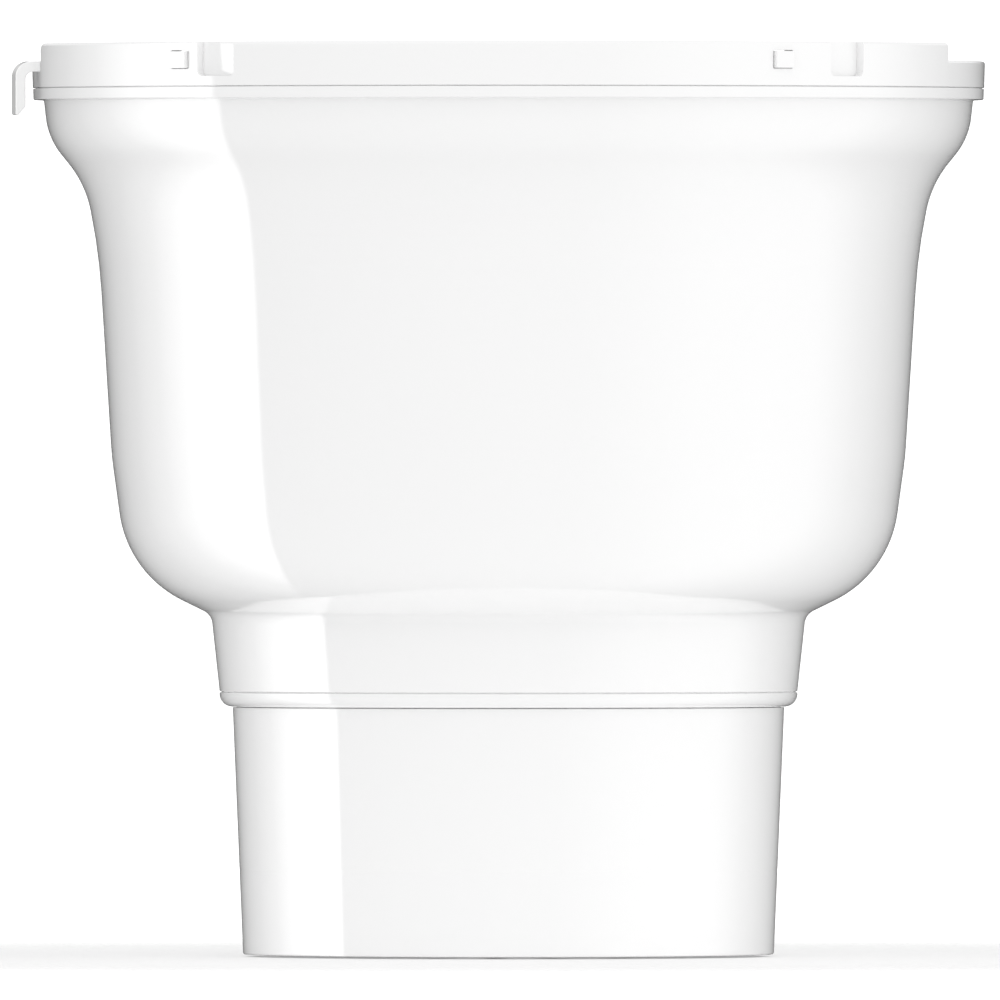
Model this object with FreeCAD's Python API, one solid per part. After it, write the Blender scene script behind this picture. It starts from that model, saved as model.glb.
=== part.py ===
"""Bell-shaped immersion circulator, in millimetres: +Z up, front towards -Y, origin at the foot's centre.

Azimuths are in degrees from the front, towards +X. Heights are measured from the foot's lower face.
"""

import FreeCAD, Part
import math
import os

V = FreeCAD.Vector

# Heights of the outside, from the foot up
skirt_height = 34.7
bead_height = 2.05
neck_height = 10.8
bowl_height = 72.05
flange_height = 1.6
ring_height = 3.75
lip_height = 2.45

# Radii and drops of the outside
neck_bore_radius = 38.2
neck_wall = 2.25
neck_taper = 1.15
skirt_overhang = 0.4
skirt_taper = 1.45
flange_radius = 66.55
flange_draft = 0.05
flange_step = 1.45
shoulder_inset = 0.6
shoulder_drop = 5.35
slope_inset = 5.2
slope_drop = 6.45
waist_inset = 1.9
waist_drop = 9.45
belly_inset = 1.8
belly_rise = 22.15
hip_inset = 2.25
hip_rise = 5.75
bead_rounding = 1.8
crease_size = 0.15
foot_rounding = 0.35
neck_rounding = 2.2
hip_rounding = 16.0
belly_rounding = 40.0
waist_rounding = 84.0
slope_rounding = 15.0
shoulder_rounding = 10.0

# Walls and clearances
housing_wall = 2.2
skirt_wall = 2.0
seam_gap = 0.2
seam_depth = 0.25
slip = 0.15
running = 0.05
board_thickness = 1.6

# Neck and bulkhead
ledge_width = 5.7
ledge_thickness = 5.0
spigot_clearance = 0.5
spigot_length = 8.3
gasket_thickness = 1.0
plate_thickness = 2.0
plate_overhang = 0.2
plate_screw_inset = 2.8

# Control ring and hook
ring_draft = 0.15
ring_wall = 2.4
ring_rounding = 0.4
ring_shelf_margin = 1.2
ring_shelf_thickness = 2.5
ring_spigot_wall = 1.6
ring_spigot_clearance = 0.65
ring_spigot_drop = 4.0
lip_wall = 2.1
lip_start = -74.4
lip_end = 71.1
notch_azimuths = (-33.5, 49.2)
notch_width = 6.4
notch_depth = 4.8
notch_inset = 1.4
notch_rounding = 0.8
tab_azimuths = (-39.1, 39.1)
tab_width = 3.1
tab_height = 2.4
tab_drop = 1.3
tab_stand_out = 0.6
hook_azimuth = -76.5
hook_width = 4.0
hook_thickness = 1.45
hook_gap = 1.95
hook_length = 7.5
hook_outer_bend = 2.2
hook_chamfer = 1.2
hook_root = 2.0
ring_screw_azimuths = (20.0, 110.0, 200.0, 290.0)
ring_boss_radius = 3.0
ring_boss_height = 19.0
ring_gasket_width = 1.2
ring_gasket_height = 0.8
ring_gasket_inset = 1.75

# Top deck and its controls
deck_thickness = 2.0
deck_drop = 0.95
window_size = (47.6, 21.6)
window_rounding = 3.0
window_thickness = 1.2
window_border = 3.0
window_centre = (0.0, -37.0)
lens_size = (16.0, 2.4)
lens_centre = (0.0, -18.0)
dial_centre = (0.0, 8.0)
dial_radius = 17.0
dial_height = 2.8
dial_lift = 0.3
dial_stem_radius = 2.5
dial_notches = 40
bush_radius = 3.4
button_centres = {"timer_button": (-36.0, 8.0), "start_button": (36.0, 8.0)}
button_radius = 5.5
button_stand_out = 1.6
button_travel = 1.0
button_collar = 1.1
button_collar_thickness = 1.2
button_lift = 0.2

# Control board
control_board_radius = 50.0
control_board_drop = 7.2
deck_boss_circle = 44.0
deck_boss_radius = 3.0
switch_size = 6.0
switch_height = 2.2
switch_pin_radius = 1.6
buzzer_radius = 6.0
buzzer_height = 6.0
buzzer_centre = (25.0, 25.0)
ribbon_centre = (-25.0, 25.0)
ribbon_size = (12.0, 0.8)
connector_size = (14.0, 5.0, 5.0)

# Power board
power_board_rise = 21.5
power_board_radius = 50.0
motor_clearance = 1.0
post_circle = 45.0
post_radius = 3.2
screw_radius = 1.2
screw_head_radius = 2.4
screw_head_height = 1.6
screw_bite = 5.0
transformer_size = (20.0, 24.0, 20.0)
relay_size = (19.0, 15.0, 16.0)
fuse_size = (22.0, 6.0, 8.0)
fuse_circle = 34.0
fuse_base_height = 2.0
fuse_post_width = 3.0
fuse_glass_radius = 2.0
fuse_glass_drop = 3.0
terminal_size = (20.0, 10.0, 12.0)
terminal_circle = 38.0
terminal_azimuth = 128.0
component_circle = 37.0
capacitor_radius = 6.0
capacitor_height = 24.0
capacitor_azimuths = (78.0, 102.0)
choke_radius = 6.0
choke_winding = 2.6

# Power inlet in the rear wall
inlet_height_on_bowl = 46.5
inlet_flange = (31.0, 23.0)
inlet_flange_thickness = 1.6
inlet_inset = 2.5
inlet_socket = (24.0, 16.4)
inlet_wall = 1.3
inlet_socket_depth = 15.0
inlet_pad = 2.6
pin_spacing = 7.0
pin_size = (4.0, 2.0)
pin_recess = 3.0
pin_tail = 6.0
lead_radius = 1.0
lead_bend = 2.0

# Motor
isolator_offset = 5.0
isolator_radius = 3.4
isolator_height = 14.0
isolator_azimuths = (0.0, 120.0, 240.0)
bracket_thickness = 1.5
bracket_arm_width = 9.0
motor_radius = 18.0
motor_wall = 1.2
motor_length = 26.0
motor_floor = 1.5
end_cap_thickness = 3.0
motor_boss_radius = 8.0
bearing_radius = 5.0
bearing_width = 4.0
motor_shaft_radius = 2.0
stator_length = 14.0
stator_lift = 6.0
stator_yoke = 3.2
stator_teeth = 9
tooth_width = 3.0
air_gap = 0.6
rotor_radius = 9.0
winding_thickness = 1.0
coupling_radius = 6.5
coupling_length = 10.0
coupling_lift = 1.5

# Wet side
drive_shaft_radius = 2.5
drive_shaft_bottom = 5.0
seal_radius = 8.0
seal_flange = 1.5
seal_flange_thickness = 3.0
seal_top_lift = 0.8
draft_tube_radius = 12.0
draft_tube_wall = 1.4
draft_tube_bottom = 3.1
draft_window_height = 12.0
draft_post_angle = 24.0
draft_flange_radius = 16.6
draft_flange_thickness = 2.5
draft_screw_circle = 14.4
spider_bottom = 5.0
spider_height = 4.0
spider_hub = 6.0
spider_arm = 2.0
lower_bush_radius = 4.4
impeller_bottom = 12.0
impeller_height = 8.0
impeller_hub = 4.0
impeller_tip_gap = 0.6
impeller_blades = 4
blade_thickness = 1.2
blade_pitch = 40.0
heater_tube_radius = 2.6
heater_bend = 6.0
heater_clearance = 1.2
heater_lead_clearance = 1.0
outer_heater_gap = 44.0
outer_heater_height = 15.5
inner_heater_gap = 86.0
inner_heater_height = 24.0
heater_bushing_wall = 1.4
heater_bushing_height = 2.5
heater_pin_rise = 8.0
sensor_clearance = 3.4
probe_radius = 1.5
probe_azimuth = 180.0
probe_bottom = 20.0
electrode_radius = 1.0
electrode_azimuths = (170.0, 190.0)
electrode_bottom = 11.8
sensor_rise = 5.0
triac_size = (10.0, 15.0, 4.6)
triac_circle = 28.0
cutoff_radius = 3.5
cutoff_height = 5.0

# Skirt and grille
o_ring_radius = 0.9
o_ring_side_gap = 0.1
o_ring_height = 4.6
grille_thickness = 2.4
grille_recess = 0.4
grille_seat = 1.55
grille_slots = 20
slot_width = 2.4
slot_inner = 17.0
grille_rim = 3.6
outlet_radius = 11.5
guard_radius = 6.0
guard_bar = 1.4
guard_bars = 6

# Heights and radii that follow
skirt_top = skirt_height
neck_bottom = skirt_top + bead_height
neck_top = neck_bottom + neck_height
flange_bottom = neck_top + bowl_height
flange_top = flange_bottom + flange_height
ear_top = flange_top + ring_height
lip_top = ear_top + lip_height
ledge_bottom = skirt_top + spigot_length + spigot_clearance
ledge_top = ledge_bottom + ledge_thickness
plate_bottom = ledge_top + gasket_thickness
plate_top = plate_bottom + plate_thickness
deck_top = ear_top - deck_drop
deck_bottom = deck_top - deck_thickness
control_board_top = deck_bottom - control_board_drop
control_board_bottom = control_board_top - board_thickness
power_board_bottom = plate_top + power_board_rise
power_board_top = power_board_bottom + board_thickness
bracket_bottom = plate_top + isolator_height
motor_bottom = bracket_bottom + bracket_thickness
motor_top = motor_bottom + motor_length
stator_bottom = motor_bottom + stator_lift
neck_bottom_radius = neck_bore_radius + neck_wall
neck_top_radius = neck_bottom_radius + neck_taper
skirt_top_radius = neck_bore_radius + skirt_overhang
foot_radius = skirt_top_radius - skirt_taper
ledge_radius = neck_bore_radius - ledge_width
plate_radius = neck_bore_radius + plate_overhang
plate_screw_circle = neck_bore_radius - plate_screw_inset
power_board_bore = motor_radius + motor_clearance
outer_heater_radius = ledge_radius - heater_clearance - heater_tube_radius
inner_heater_radius = motor_radius + heater_lead_clearance + lead_radius
sensor_circle = draft_flange_radius + sensor_clearance
isolator_circle = inner_heater_radius + isolator_offset
slot_outer = foot_radius - grille_seat - grille_rim
bowl_top_radius = flange_radius - flange_draft - flange_step
ring_top_radius = flange_radius + ring_draft
ring_bore_radius = flange_radius + flange_draft - ring_wall
ring_spigot_radius = bowl_top_radius - housing_wall - ring_spigot_clearance
ring_screw_circle = ring_spigot_radius - ring_spigot_wall - slip - ring_boss_radius
ring_shelf_radius = ring_screw_circle - screw_head_radius - ring_shelf_margin
inlet_height = neck_top + inlet_height_on_bowl


def rounded_edges(points, closed):
    """Straight and arc edges through (vector, rounding) points, each rounding kept within its two sides."""
    count = len(points)
    corners = [point for point, _ in points]
    sides = [corners[i].distanceToPoint(corners[(i + 1) % count]) for i in range(count)]
    reach = []
    for i, (corner, rounding) in enumerate(points):
        if rounding <= 0 or (not closed and i in (0, count - 1)):
            reach.append(0.0)
            continue
        back = corners[i - 1] - corner
        ahead = corners[(i + 1) % count] - corner
        reach.append(rounding / math.tan(back.getAngle(ahead) / 2))
    limits = []
    for i in range(count):
        before = sides[i - 1] / max(reach[i - 1] + reach[i], sides[i - 1])
        after = sides[i] / max(reach[i] + reach[(i + 1) % count], sides[i])
        limits.append(min(1.0, before, after))
    marks = []
    for i, corner in enumerate(corners):
        length = reach[i] * limits[i]
        if length <= 0:
            marks.append((corner, None, corner))
            continue
        back = (corners[i - 1] - corner).normalize()
        ahead = (corners[(i + 1) % count] - corner).normalize()
        half = back.getAngle(ahead) / 2
        radius = length * math.tan(half)
        inward = (back + ahead).normalize()
        centre = corner + inward * (radius / math.sin(half))
        marks.append((corner + back * length, centre - inward * radius, corner + ahead * length))
    edges = []
    for i, (start, middle, end) in enumerate(marks):
        if middle is not None:
            edges.append(Part.Arc(start, middle, end).toShape())
        if not closed and i == count - 1:
            break
        following = marks[(i + 1) % count][0]
        if end.distanceToPoint(following) > 1e-6:
            edges.append(Part.LineSegment(end, following).toShape())
    return edges


def turned_solid(outline, azimuth=0.0, span=360.0):
    """Solid of revolution about Z from (radius, height) or (radius, height, rounding) points."""
    points = [(V(0, -p[0], p[1]), p[2] if len(p) > 2 else 0.0) for p in outline]
    face = Part.Face(Part.Wire(rounded_edges(points, True)))
    solid = face.revolve(V(0, 0, 0), V(0, 0, 1), span)
    return at_azimuth(solid, azimuth)


def at_azimuth(shape, azimuth):
    """The shape, made at the front, turned about Z to an azimuth."""
    moved = shape.copy()
    moved.rotate(V(0, 0, 0), V(0, 0, 1), azimuth)
    return moved


def polar(radius, azimuth):
    """X and Y of a point at a radius and azimuth."""
    angle = math.radians(azimuth)
    return radius * math.sin(angle), -radius * math.cos(angle)


def rod(radius, bottom, top, centre=(0.0, 0.0)):
    """Upright cylinder."""
    return Part.makeCylinder(radius, top - bottom, V(centre[0], centre[1], bottom))


def tube(outer, inner, bottom, top, centre=(0.0, 0.0)):
    """Upright tube."""
    return rod(outer, bottom, top, centre).cut(rod(inner, bottom - 1, top + 1, centre))


def block(size_x, size_y, bottom, top, centre=(0.0, 0.0)):
    """Upright box, centred on a point."""
    corner = V(centre[0] - size_x / 2, centre[1] - size_y / 2, bottom)
    return Part.makeBox(size_x, size_y, top - bottom, corner)


def rounded_block(size, rounding, bottom, top, centre):
    """Upright box with its four upright edges rounded."""
    x, y = size[0] / 2, size[1] / 2
    ring = [(-x, -y), (x, -y), (x, y), (-x, y)]
    points = [(V(centre[0] + a, centre[1] + b, bottom), rounding) for a, b in ring]
    return Part.Face(Part.Wire(rounded_edges(points, True))).extrude(V(0, 0, top - bottom))


def group(shapes):
    """Separate solids kept together in one node."""
    return Part.makeCompound(shapes)


def screw(centre, head_bottom, length, upside_down=False):
    """Pan-head screw, its head above the joint, or below it when upside down."""
    if upside_down:
        head = rod(screw_head_radius, head_bottom - screw_head_height, head_bottom, centre)
        return head.fuse(rod(screw_radius, head_bottom, head_bottom + length, centre))
    head = rod(screw_head_radius, head_bottom, head_bottom + screw_head_height, centre)
    return head.fuse(rod(screw_radius, head_bottom - length, head_bottom, centre))


def bent_tube(points, radius, bend):
    """Round tube along straight runs joined by tangent arcs."""
    edges = rounded_edges([(V(*point), bend) for point in points], False)
    return swept(edges, radius)


def swept(edges, radius):
    """Round tube along edges that meet end to end."""
    path = Part.Wire(edges)
    start = edges[0].valueAt(edges[0].FirstParameter)
    heading = edges[0].tangentAt(edges[0].FirstParameter)
    ring = Part.Wire(Part.makeCircle(radius, start, heading))
    return path.makePipeShell([ring], True, True)


def bowl_outline():
    """The bowl's outside from the flange down to the neck, as (radius, height, rounding)."""
    shoulder = bowl_top_radius - shoulder_inset
    slope = shoulder - slope_inset
    waist = slope - waist_inset
    belly = waist - belly_inset
    hip = belly - hip_inset
    shoulder_height = flange_bottom - shoulder_drop
    slope_height = shoulder_height - slope_drop
    return [
        (bowl_top_radius, flange_bottom, 0.0),
        (shoulder, shoulder_height, shoulder_rounding),
        (slope, slope_height, slope_rounding),
        (waist, slope_height - waist_drop, waist_rounding),
        (belly, neck_top + belly_rise, belly_rounding),
        (hip, neck_top + hip_rise, hip_rounding),
        (neck_top_radius, neck_top, neck_rounding),
    ]


def inner_outline(path, wall):
    """A downward outline moved inwards by a wall, its roundings following."""
    lines = []
    for (r0, z0, _), (r1, z1, _) in zip(path, path[1:]):
        length = math.hypot(r1 - r0, z1 - z0)
        across = ((z1 - z0) / length * wall, -(r1 - r0) / length * wall)
        lines.append(((r0 + across[0], z0 + across[1]), (r1 + across[0], z1 + across[1])))
    moved = [(*lines[0][0], 0.0)]
    for corner, first, second in zip(path[1:], lines, lines[1:]):
        (ax, az), (bx, bz) = first
        (cx, cz), (dx, dz) = second
        turn = (bx - ax) * (dz - cz) - (bz - az) * (dx - cx)
        share = ((cx - ax) * (dz - cz) - (cz - az) * (dx - cx)) / turn
        rounding = max(corner[2] + (wall if turn > 0 else -wall), 0.0)
        moved.append((ax + (bx - ax) * share, az + (bz - az) * share, rounding))
    return moved + [(*lines[-1][1], 0.0)]


def radius_at(start, end, height):
    """Radius of the straight stretch between two outline points at a height."""
    share = (height - start[1]) / (end[1] - start[1])
    return start[0] + (end[0] - start[0]) * share


def bowl_solid():
    """Everything inside the bowl's outer skin, to trim inner features."""
    outline = bowl_outline()
    return turned_solid([(0, flange_top), (bowl_top_radius, flange_top), *outline, (0, neck_top)])


def inlet_skin():
    """Distance from the axis to the bowl's outside where the power inlet sits."""
    outline = bowl_outline()
    return radius_at(outline[3], outline[4], inlet_height)


def inlet_front():
    """Distance from the axis to the power inlet's front face."""
    return inlet_skin() - inlet_inset


def rear_block(size, near, far):
    """Box centred on the power inlet's axis, between two distances behind the axis."""
    corner = V(-size[0] / 2, near, inlet_height - size[1] / 2)
    return Part.makeBox(size[0], far - near, size[1], corner)


def inlet_body_size():
    """Outside of the power inlet's socket shell."""
    return inlet_socket[0] + 2 * inlet_wall, inlet_socket[1] + 2 * inlet_wall


def bell_housing():
    """Flange, bowl, neck and bead in one moulding, with its inner ledge, posts and bosses."""
    outer = bowl_outline()
    inner = inner_outline(outer, housing_wall)
    seat_radius = radius_at(inner[-2], inner[-1], ledge_top)
    outline = [
        (flange_radius - seam_depth, flange_top),
        (flange_radius, flange_top - seam_gap / 2),
        (flange_radius - flange_draft, flange_bottom, 0.2),
        *outer,
        (neck_bottom_radius, neck_bottom + crease_size),
        (neck_bottom_radius - crease_size, neck_bottom),
        (neck_bottom_radius, neck_bottom - crease_size),
        (neck_bottom_radius, skirt_top, bead_rounding - 0.01),
        (neck_bore_radius, skirt_top),
        (neck_bore_radius, ledge_bottom),
        (ledge_radius, ledge_bottom),
        (ledge_radius, ledge_top),
        (seat_radius, ledge_top),
        *reversed(inner[1:-1]),
        (inner[0][0], flange_top),
    ]
    housing = turned_solid(outline)
    groove_outer = bowl_top_radius - ring_gasket_inset + ring_gasket_width
    groove_bottom = flange_top - ring_gasket_height
    housing = housing.cut(tube(groove_outer, groove_outer - ring_gasket_width, groove_bottom, lip_top))
    inside = bowl_solid()
    shelf_bottom = deck_bottom - ring_shelf_thickness
    for azimuth in ring_screw_azimuths:
        centre = polar(ring_screw_circle, azimuth)
        boss = rod(ring_boss_radius, shelf_bottom - ring_boss_height, shelf_bottom, centre).common(inside)
        housing = housing.fuse(boss).cut(rod(screw_radius, shelf_bottom - 10, shelf_bottom, centre))
    for azimuth in range(0, 360, 90):
        centre = polar(post_circle, azimuth)
        post = rod(post_radius, neck_top, power_board_bottom, centre).common(inside)
        screw_hole = rod(screw_radius, power_board_bottom - screw_bite, power_board_bottom, centre)
        housing = housing.fuse(post).cut(screw_hole)
    for azimuth in range(45, 360, 90):
        centre = polar(plate_screw_circle, azimuth)
        housing = housing.cut(rod(screw_radius, ledge_bottom + 0.6, ledge_top, centre))
    housing = housing.cut(rod(plate_radius, ledge_top, plate_top))
    front = inlet_front()
    floor = front - inlet_flange_thickness
    pad = rear_block((inlet_flange[0] + 6, inlet_flange[1] + 4), floor - inlet_pad, inlet_skin() + 2)
    recess = rear_block((inlet_flange[0] + 2 * slip, inlet_flange[1] + 2 * slip), floor, inlet_skin() + 5)
    body = inlet_body_size()
    hole = rear_block((body[0] + 2 * slip, body[1] + 2 * slip), floor - 20, floor + 1)
    return housing.fuse(pad.common(inside)).cut(recess).cut(hole)


def ring_outline(with_lip):
    """Section of the control ring, with or without its raised lip."""
    spigot_inner = ring_spigot_radius - ring_spigot_wall
    spigot_bottom = flange_top - ring_spigot_drop
    shelf_bottom = deck_bottom - ring_shelf_thickness
    ear = [(ring_top_radius, ear_top, ring_rounding)]
    lip = [
        (ring_top_radius, ear_top),
        (ring_top_radius, lip_top, ring_rounding),
        (ring_top_radius - lip_wall, lip_top, ring_rounding),
        (ring_top_radius - lip_wall, ear_top),
    ]
    return [
        (flange_radius - seam_depth, flange_top),
        (flange_radius + flange_draft, flange_top + seam_gap),
        *(lip if with_lip else ear),
        (ring_bore_radius, ear_top),
        (ring_bore_radius, deck_bottom),
        (ring_shelf_radius, deck_bottom),
        (ring_shelf_radius, shelf_bottom),
        (spigot_inner, shelf_bottom),
        (spigot_inner, spigot_bottom),
        (ring_spigot_radius, spigot_bottom),
        (ring_spigot_radius, flange_top),
    ]


def notch_cutter():
    """U-shaped recess with rounded lower corners, made at the front."""
    half = notch_width / 2
    bottom = lip_top - notch_depth
    near = -(ring_top_radius + 2)
    points = [
        (V(-half, near, lip_top + 1), 0),
        (V(-half, near, bottom), notch_rounding),
        (V(half, near, bottom), notch_rounding),
        (V(half, near, lip_top + 1), 0),
    ]
    face = Part.Face(Part.Wire(rounded_edges(points, True)))
    return face.extrude(V(0, 2 + notch_inset, 0))


def tab_bottom():
    """Height of the deck's snap tabs' lower edge."""
    return lip_top - tab_drop - tab_height


def control_ring():
    """Upper ring with its raised arc lip, notches, tab windows, hook pocket and screw holes."""
    lip_span = lip_end - lip_start
    ring = turned_solid(ring_outline(True), lip_start, lip_span)
    ring = ring.fuse(turned_solid(ring_outline(False), lip_end, 360 - lip_span))
    for azimuth in notch_azimuths:
        ring = ring.cut(at_azimuth(notch_cutter(), azimuth))
    for azimuth in tab_azimuths:
        window = block(tab_width + slip, 10, tab_bottom() - slip / 2, tab_bottom() + tab_height + slip / 2,
                       (0, -ring_top_radius))
        ring = ring.cut(at_azimuth(window, azimuth))
    ring = ring.cut(at_azimuth(hook_pocket(), hook_azimuth))
    for azimuth in ring_screw_azimuths:
        centre = polar(ring_screw_circle, azimuth)
        ring = ring.cut(rod(screw_radius + slip, deck_bottom - 10, deck_bottom, centre))
        head_bottom = deck_bottom - screw_head_height
        ring = ring.cut(rod(screw_head_radius + slip, head_bottom, deck_bottom + 0.01, centre))
    return ring


def hook_pocket():
    """Slot in the ring's ear that holds the hook's arm, made at the front."""
    arm_bottom = ear_top - hook_thickness
    return block(hook_width, 2 * hook_root, arm_bottom, ear_top + 1, (0, -ring_top_radius))


def pot_hook():
    """J-shaped hook: an arm seated in the ring's ear and a leg outside it with a bevelled tip."""
    inside = -(ring_top_radius - hook_root)
    leg_inner = -(ring_top_radius + hook_gap)
    leg_outer = leg_inner - hook_thickness
    arm_bottom = ear_top - hook_thickness
    tip = ear_top - hook_length
    inner_bend = hook_outer_bend - hook_thickness
    points = [
        (V(0, inside, arm_bottom), 0),
        (V(0, leg_inner, arm_bottom), inner_bend),
        (V(0, leg_inner, tip + hook_chamfer), 0.5),
        (V(0, leg_inner - hook_chamfer + 0.2, tip), 0.3),
        (V(0, leg_outer, tip), 0.1),
        (V(0, leg_outer, ear_top), hook_outer_bend),
        (V(0, inside, ear_top), 0),
    ]
    side = Part.Face(Part.Wire(rounded_edges(points, True)))
    side.translate(V(-hook_width / 2, 0, 0))
    return at_azimuth(side.extrude(V(hook_width, 0, 0)), hook_azimuth)


def ring_gasket():
    """Flat sealing ring in the flange's groove."""
    outer = bowl_top_radius - ring_gasket_inset + ring_gasket_width
    return tube(outer, outer - ring_gasket_width, flange_top - ring_gasket_height, flange_top)


def ring_screws():
    """Screws that hold the control ring to the bell's bosses."""
    head = deck_bottom - screw_head_height
    return group([screw(polar(ring_screw_circle, a), head, 7.0) for a in ring_screw_azimuths])


def top_deck():
    """Control panel disc with its snap tabs, board bosses and openings."""
    deck = rod(ring_bore_radius - slip, deck_bottom, deck_top)
    for azimuth in range(45, 360, 90):
        centre = polar(deck_boss_circle, azimuth)
        deck = deck.fuse(rod(deck_boss_radius, control_board_top, deck_bottom, centre))
        deck = deck.cut(rod(screw_radius, control_board_top, control_board_top + screw_bite, centre))
    pocket = (window_size[0] + slip, window_size[1] + slip)
    through = (window_size[0] - 2 * window_border, window_size[1] - 2 * window_border)
    pocket_bottom = deck_top - window_thickness
    deck = deck.cut(rounded_block(pocket, window_rounding, pocket_bottom, deck_top + 1, window_centre))
    deck = deck.cut(rounded_block(through, 1.0, deck_bottom - 1, deck_top + 1, window_centre))
    deck = deck.cut(rounded_block(lens_size, 1.1, deck_bottom - 1, deck_top + 1, lens_centre))
    deck = deck.cut(rod(bush_radius + slip, deck_bottom - 1, deck_top + 1, dial_centre))
    for centre in button_centres.values():
        deck = deck.cut(rod(button_radius + slip, deck_bottom - 1, deck_top + 1, centre))
    upstand = ring_bore_radius - slip
    for azimuth in tab_azimuths:
        root = block(tab_width + 2, 3, deck_top - 1, tab_bottom() + tab_height, (0, -(upstand - 1.5)))
        tongue_length = ring_top_radius + tab_stand_out - upstand + 1
        middle = -(ring_top_radius + tab_stand_out - tongue_length / 2)
        tongue = block(tab_width, tongue_length, tab_bottom(), tab_bottom() + tab_height, (0, middle))
        deck = deck.fuse(at_azimuth(root.common(rod(upstand, 0, lip_top)).fuse(tongue), azimuth))
    return deck


def display_window():
    """Dark window set flush in the deck."""
    return rounded_block(window_size, window_rounding, deck_top - window_thickness, deck_top, window_centre)


def status_lens():
    """Translucent bar over the status lamps."""
    size = (lens_size[0] - slip, lens_size[1] - slip)
    return rounded_block(size, 1.0, deck_bottom, deck_top, lens_centre)


def display_module():
    """Display body standing on the control board under its window."""
    size = (window_size[0] - 2 * window_border - 1, window_size[1] - 2 * window_border - 1)
    return block(*size, control_board_top, deck_bottom - 0.3, window_centre)


def dial_encoder():
    """Rotary encoder on the control board, with the bush that guides the dial's stem."""
    body = block(12, 12, control_board_top, deck_bottom - 0.5, dial_centre)
    bush = rod(bush_radius, deck_bottom - 0.5, deck_top + dial_lift - 0.2, dial_centre)
    bore = rod(dial_stem_radius + running, control_board_top + 1, lip_top, dial_centre)
    return body.fuse(bush).cut(bore)


def dial():
    """Low knurled dial with a finger dish, an index mark and a stem in the encoder."""
    bottom = deck_top + dial_lift
    top = bottom + dial_height
    cap = turned_solid([(0, bottom), (dial_radius, bottom), (dial_radius, top, 0.8), (0, top)])
    for i in range(dial_notches):
        notch = rod(0.45, bottom - 1, top - 0.9, polar(dial_radius + 0.15, i * 360 / dial_notches))
        cap = cap.cut(notch)
    dish = Part.makeSphere(60.0, V(0, -dial_radius / 2, top + 60.0 - 0.7))
    cap = cap.cut(dish.common(rod(5.0, bottom, lip_top + 5, (0, -dial_radius / 2))))
    cap.translate(V(dial_centre[0], dial_centre[1], 0))
    return cap.fuse(rod(dial_stem_radius, control_board_top + 1.5, bottom, dial_centre))


def button(centre):
    """Push button kept in the deck by its collar, with a stem over its switch."""
    collar_top = deck_bottom - button_lift
    collar_bottom = collar_top - button_collar_thickness
    cap = rod(button_radius, collar_top, deck_top + button_stand_out, centre)
    cap = cap.makeFillet(0.5, [e for e in cap.Edges if e.BoundBox.ZMin > deck_top])
    collar = rod(button_radius + button_collar, collar_bottom, collar_top, centre)
    stem = rod(switch_pin_radius, switch_pin_top() + button_travel + 0.1, collar_bottom, centre)
    return cap.fuse(collar).fuse(stem)


def switch_pin_top():
    """Height of the push switches' pins."""
    return control_board_top + switch_height + 1.1


def button_switches():
    """Push switches on the control board, one under each button."""
    shapes = []
    for centre in button_centres.values():
        body = block(switch_size, switch_size, control_board_top, control_board_top + switch_height, centre)
        shapes.append(body.fuse(rod(switch_pin_radius, control_board_top, switch_pin_top(), centre)))
    return group(shapes)


def control_board():
    """Round board that carries the controls."""
    board = rod(control_board_radius, control_board_bottom, control_board_top)
    for azimuth in range(45, 360, 90):
        board = board.cut(rod(screw_radius + slip, 0, lip_top, polar(deck_boss_circle, azimuth)))
    return board


def control_board_screws():
    """Screws up through the control board into the deck's bosses."""
    places = [polar(deck_boss_circle, a) for a in range(45, 360, 90)]
    return group([screw(p, control_board_bottom, board_thickness + 4.0, True) for p in places])


def buzzer():
    """Sounder under the control board."""
    case = rod(buzzer_radius, control_board_bottom - buzzer_height, control_board_bottom, buzzer_centre)
    return case.cut(rod(1.2, 0, control_board_bottom - buzzer_height + 1.5, buzzer_centre))


def board_connectors():
    """Plug housings at the ribbon cable's two ends."""
    lower = block(*connector_size[:2], power_board_top, power_board_top + connector_size[2], ribbon_centre)
    upper_bottom = control_board_bottom - connector_size[2]
    upper = block(*connector_size[:2], upper_bottom, control_board_bottom, ribbon_centre)
    return group([lower, upper])


def ribbon_cable():
    """Flat cable between the two boards' connectors."""
    bottom = power_board_top + connector_size[2]
    return block(*ribbon_size, bottom, control_board_bottom - connector_size[2], ribbon_centre)


def power_board():
    """Ring-shaped board round the motor."""
    board = tube(power_board_radius, power_board_bore, power_board_bottom, power_board_top)
    for azimuth in range(0, 360, 90):
        board = board.cut(rod(screw_radius + slip, 0, lip_top, polar(post_circle, azimuth)))
    return board


def power_board_screws():
    """Screws that hold the power board to the bell's posts."""
    places = [polar(post_circle, a) for a in range(0, 360, 90)]
    return group([screw(p, power_board_top, board_thickness + screw_bite - 0.5) for p in places])


def on_power_board(size, azimuth, circle=component_circle):
    """Box-shaped component on the power board: tangential, radial and upright sizes."""
    body = block(size[0], size[1], power_board_top, power_board_top + size[2], (0, -circle))
    return at_azimuth(body, azimuth)


def transformer():
    """Supply transformer: a core with a wider winding round its middle leg."""
    core = on_power_board((transformer_size[0], transformer_size[1] - 8, transformer_size[2]), -90, 34.5)
    winding = block(transformer_size[0] - 4, transformer_size[1], power_board_top + 3.5,
                    power_board_top + transformer_size[2] - 3.5, (0, -34.5))
    return core.fuse(at_azimuth(winding, -90))


def capacitors():
    """Two upright capacitors."""
    shapes = []
    for azimuth in capacitor_azimuths:
        can = rod(capacitor_radius, power_board_top, power_board_top + capacitor_height,
                  polar(component_circle, azimuth))
        shapes.append(can.makeFillet(0.8, [can.Edges[0], can.Edges[2]]))
    return group(shapes)


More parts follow.
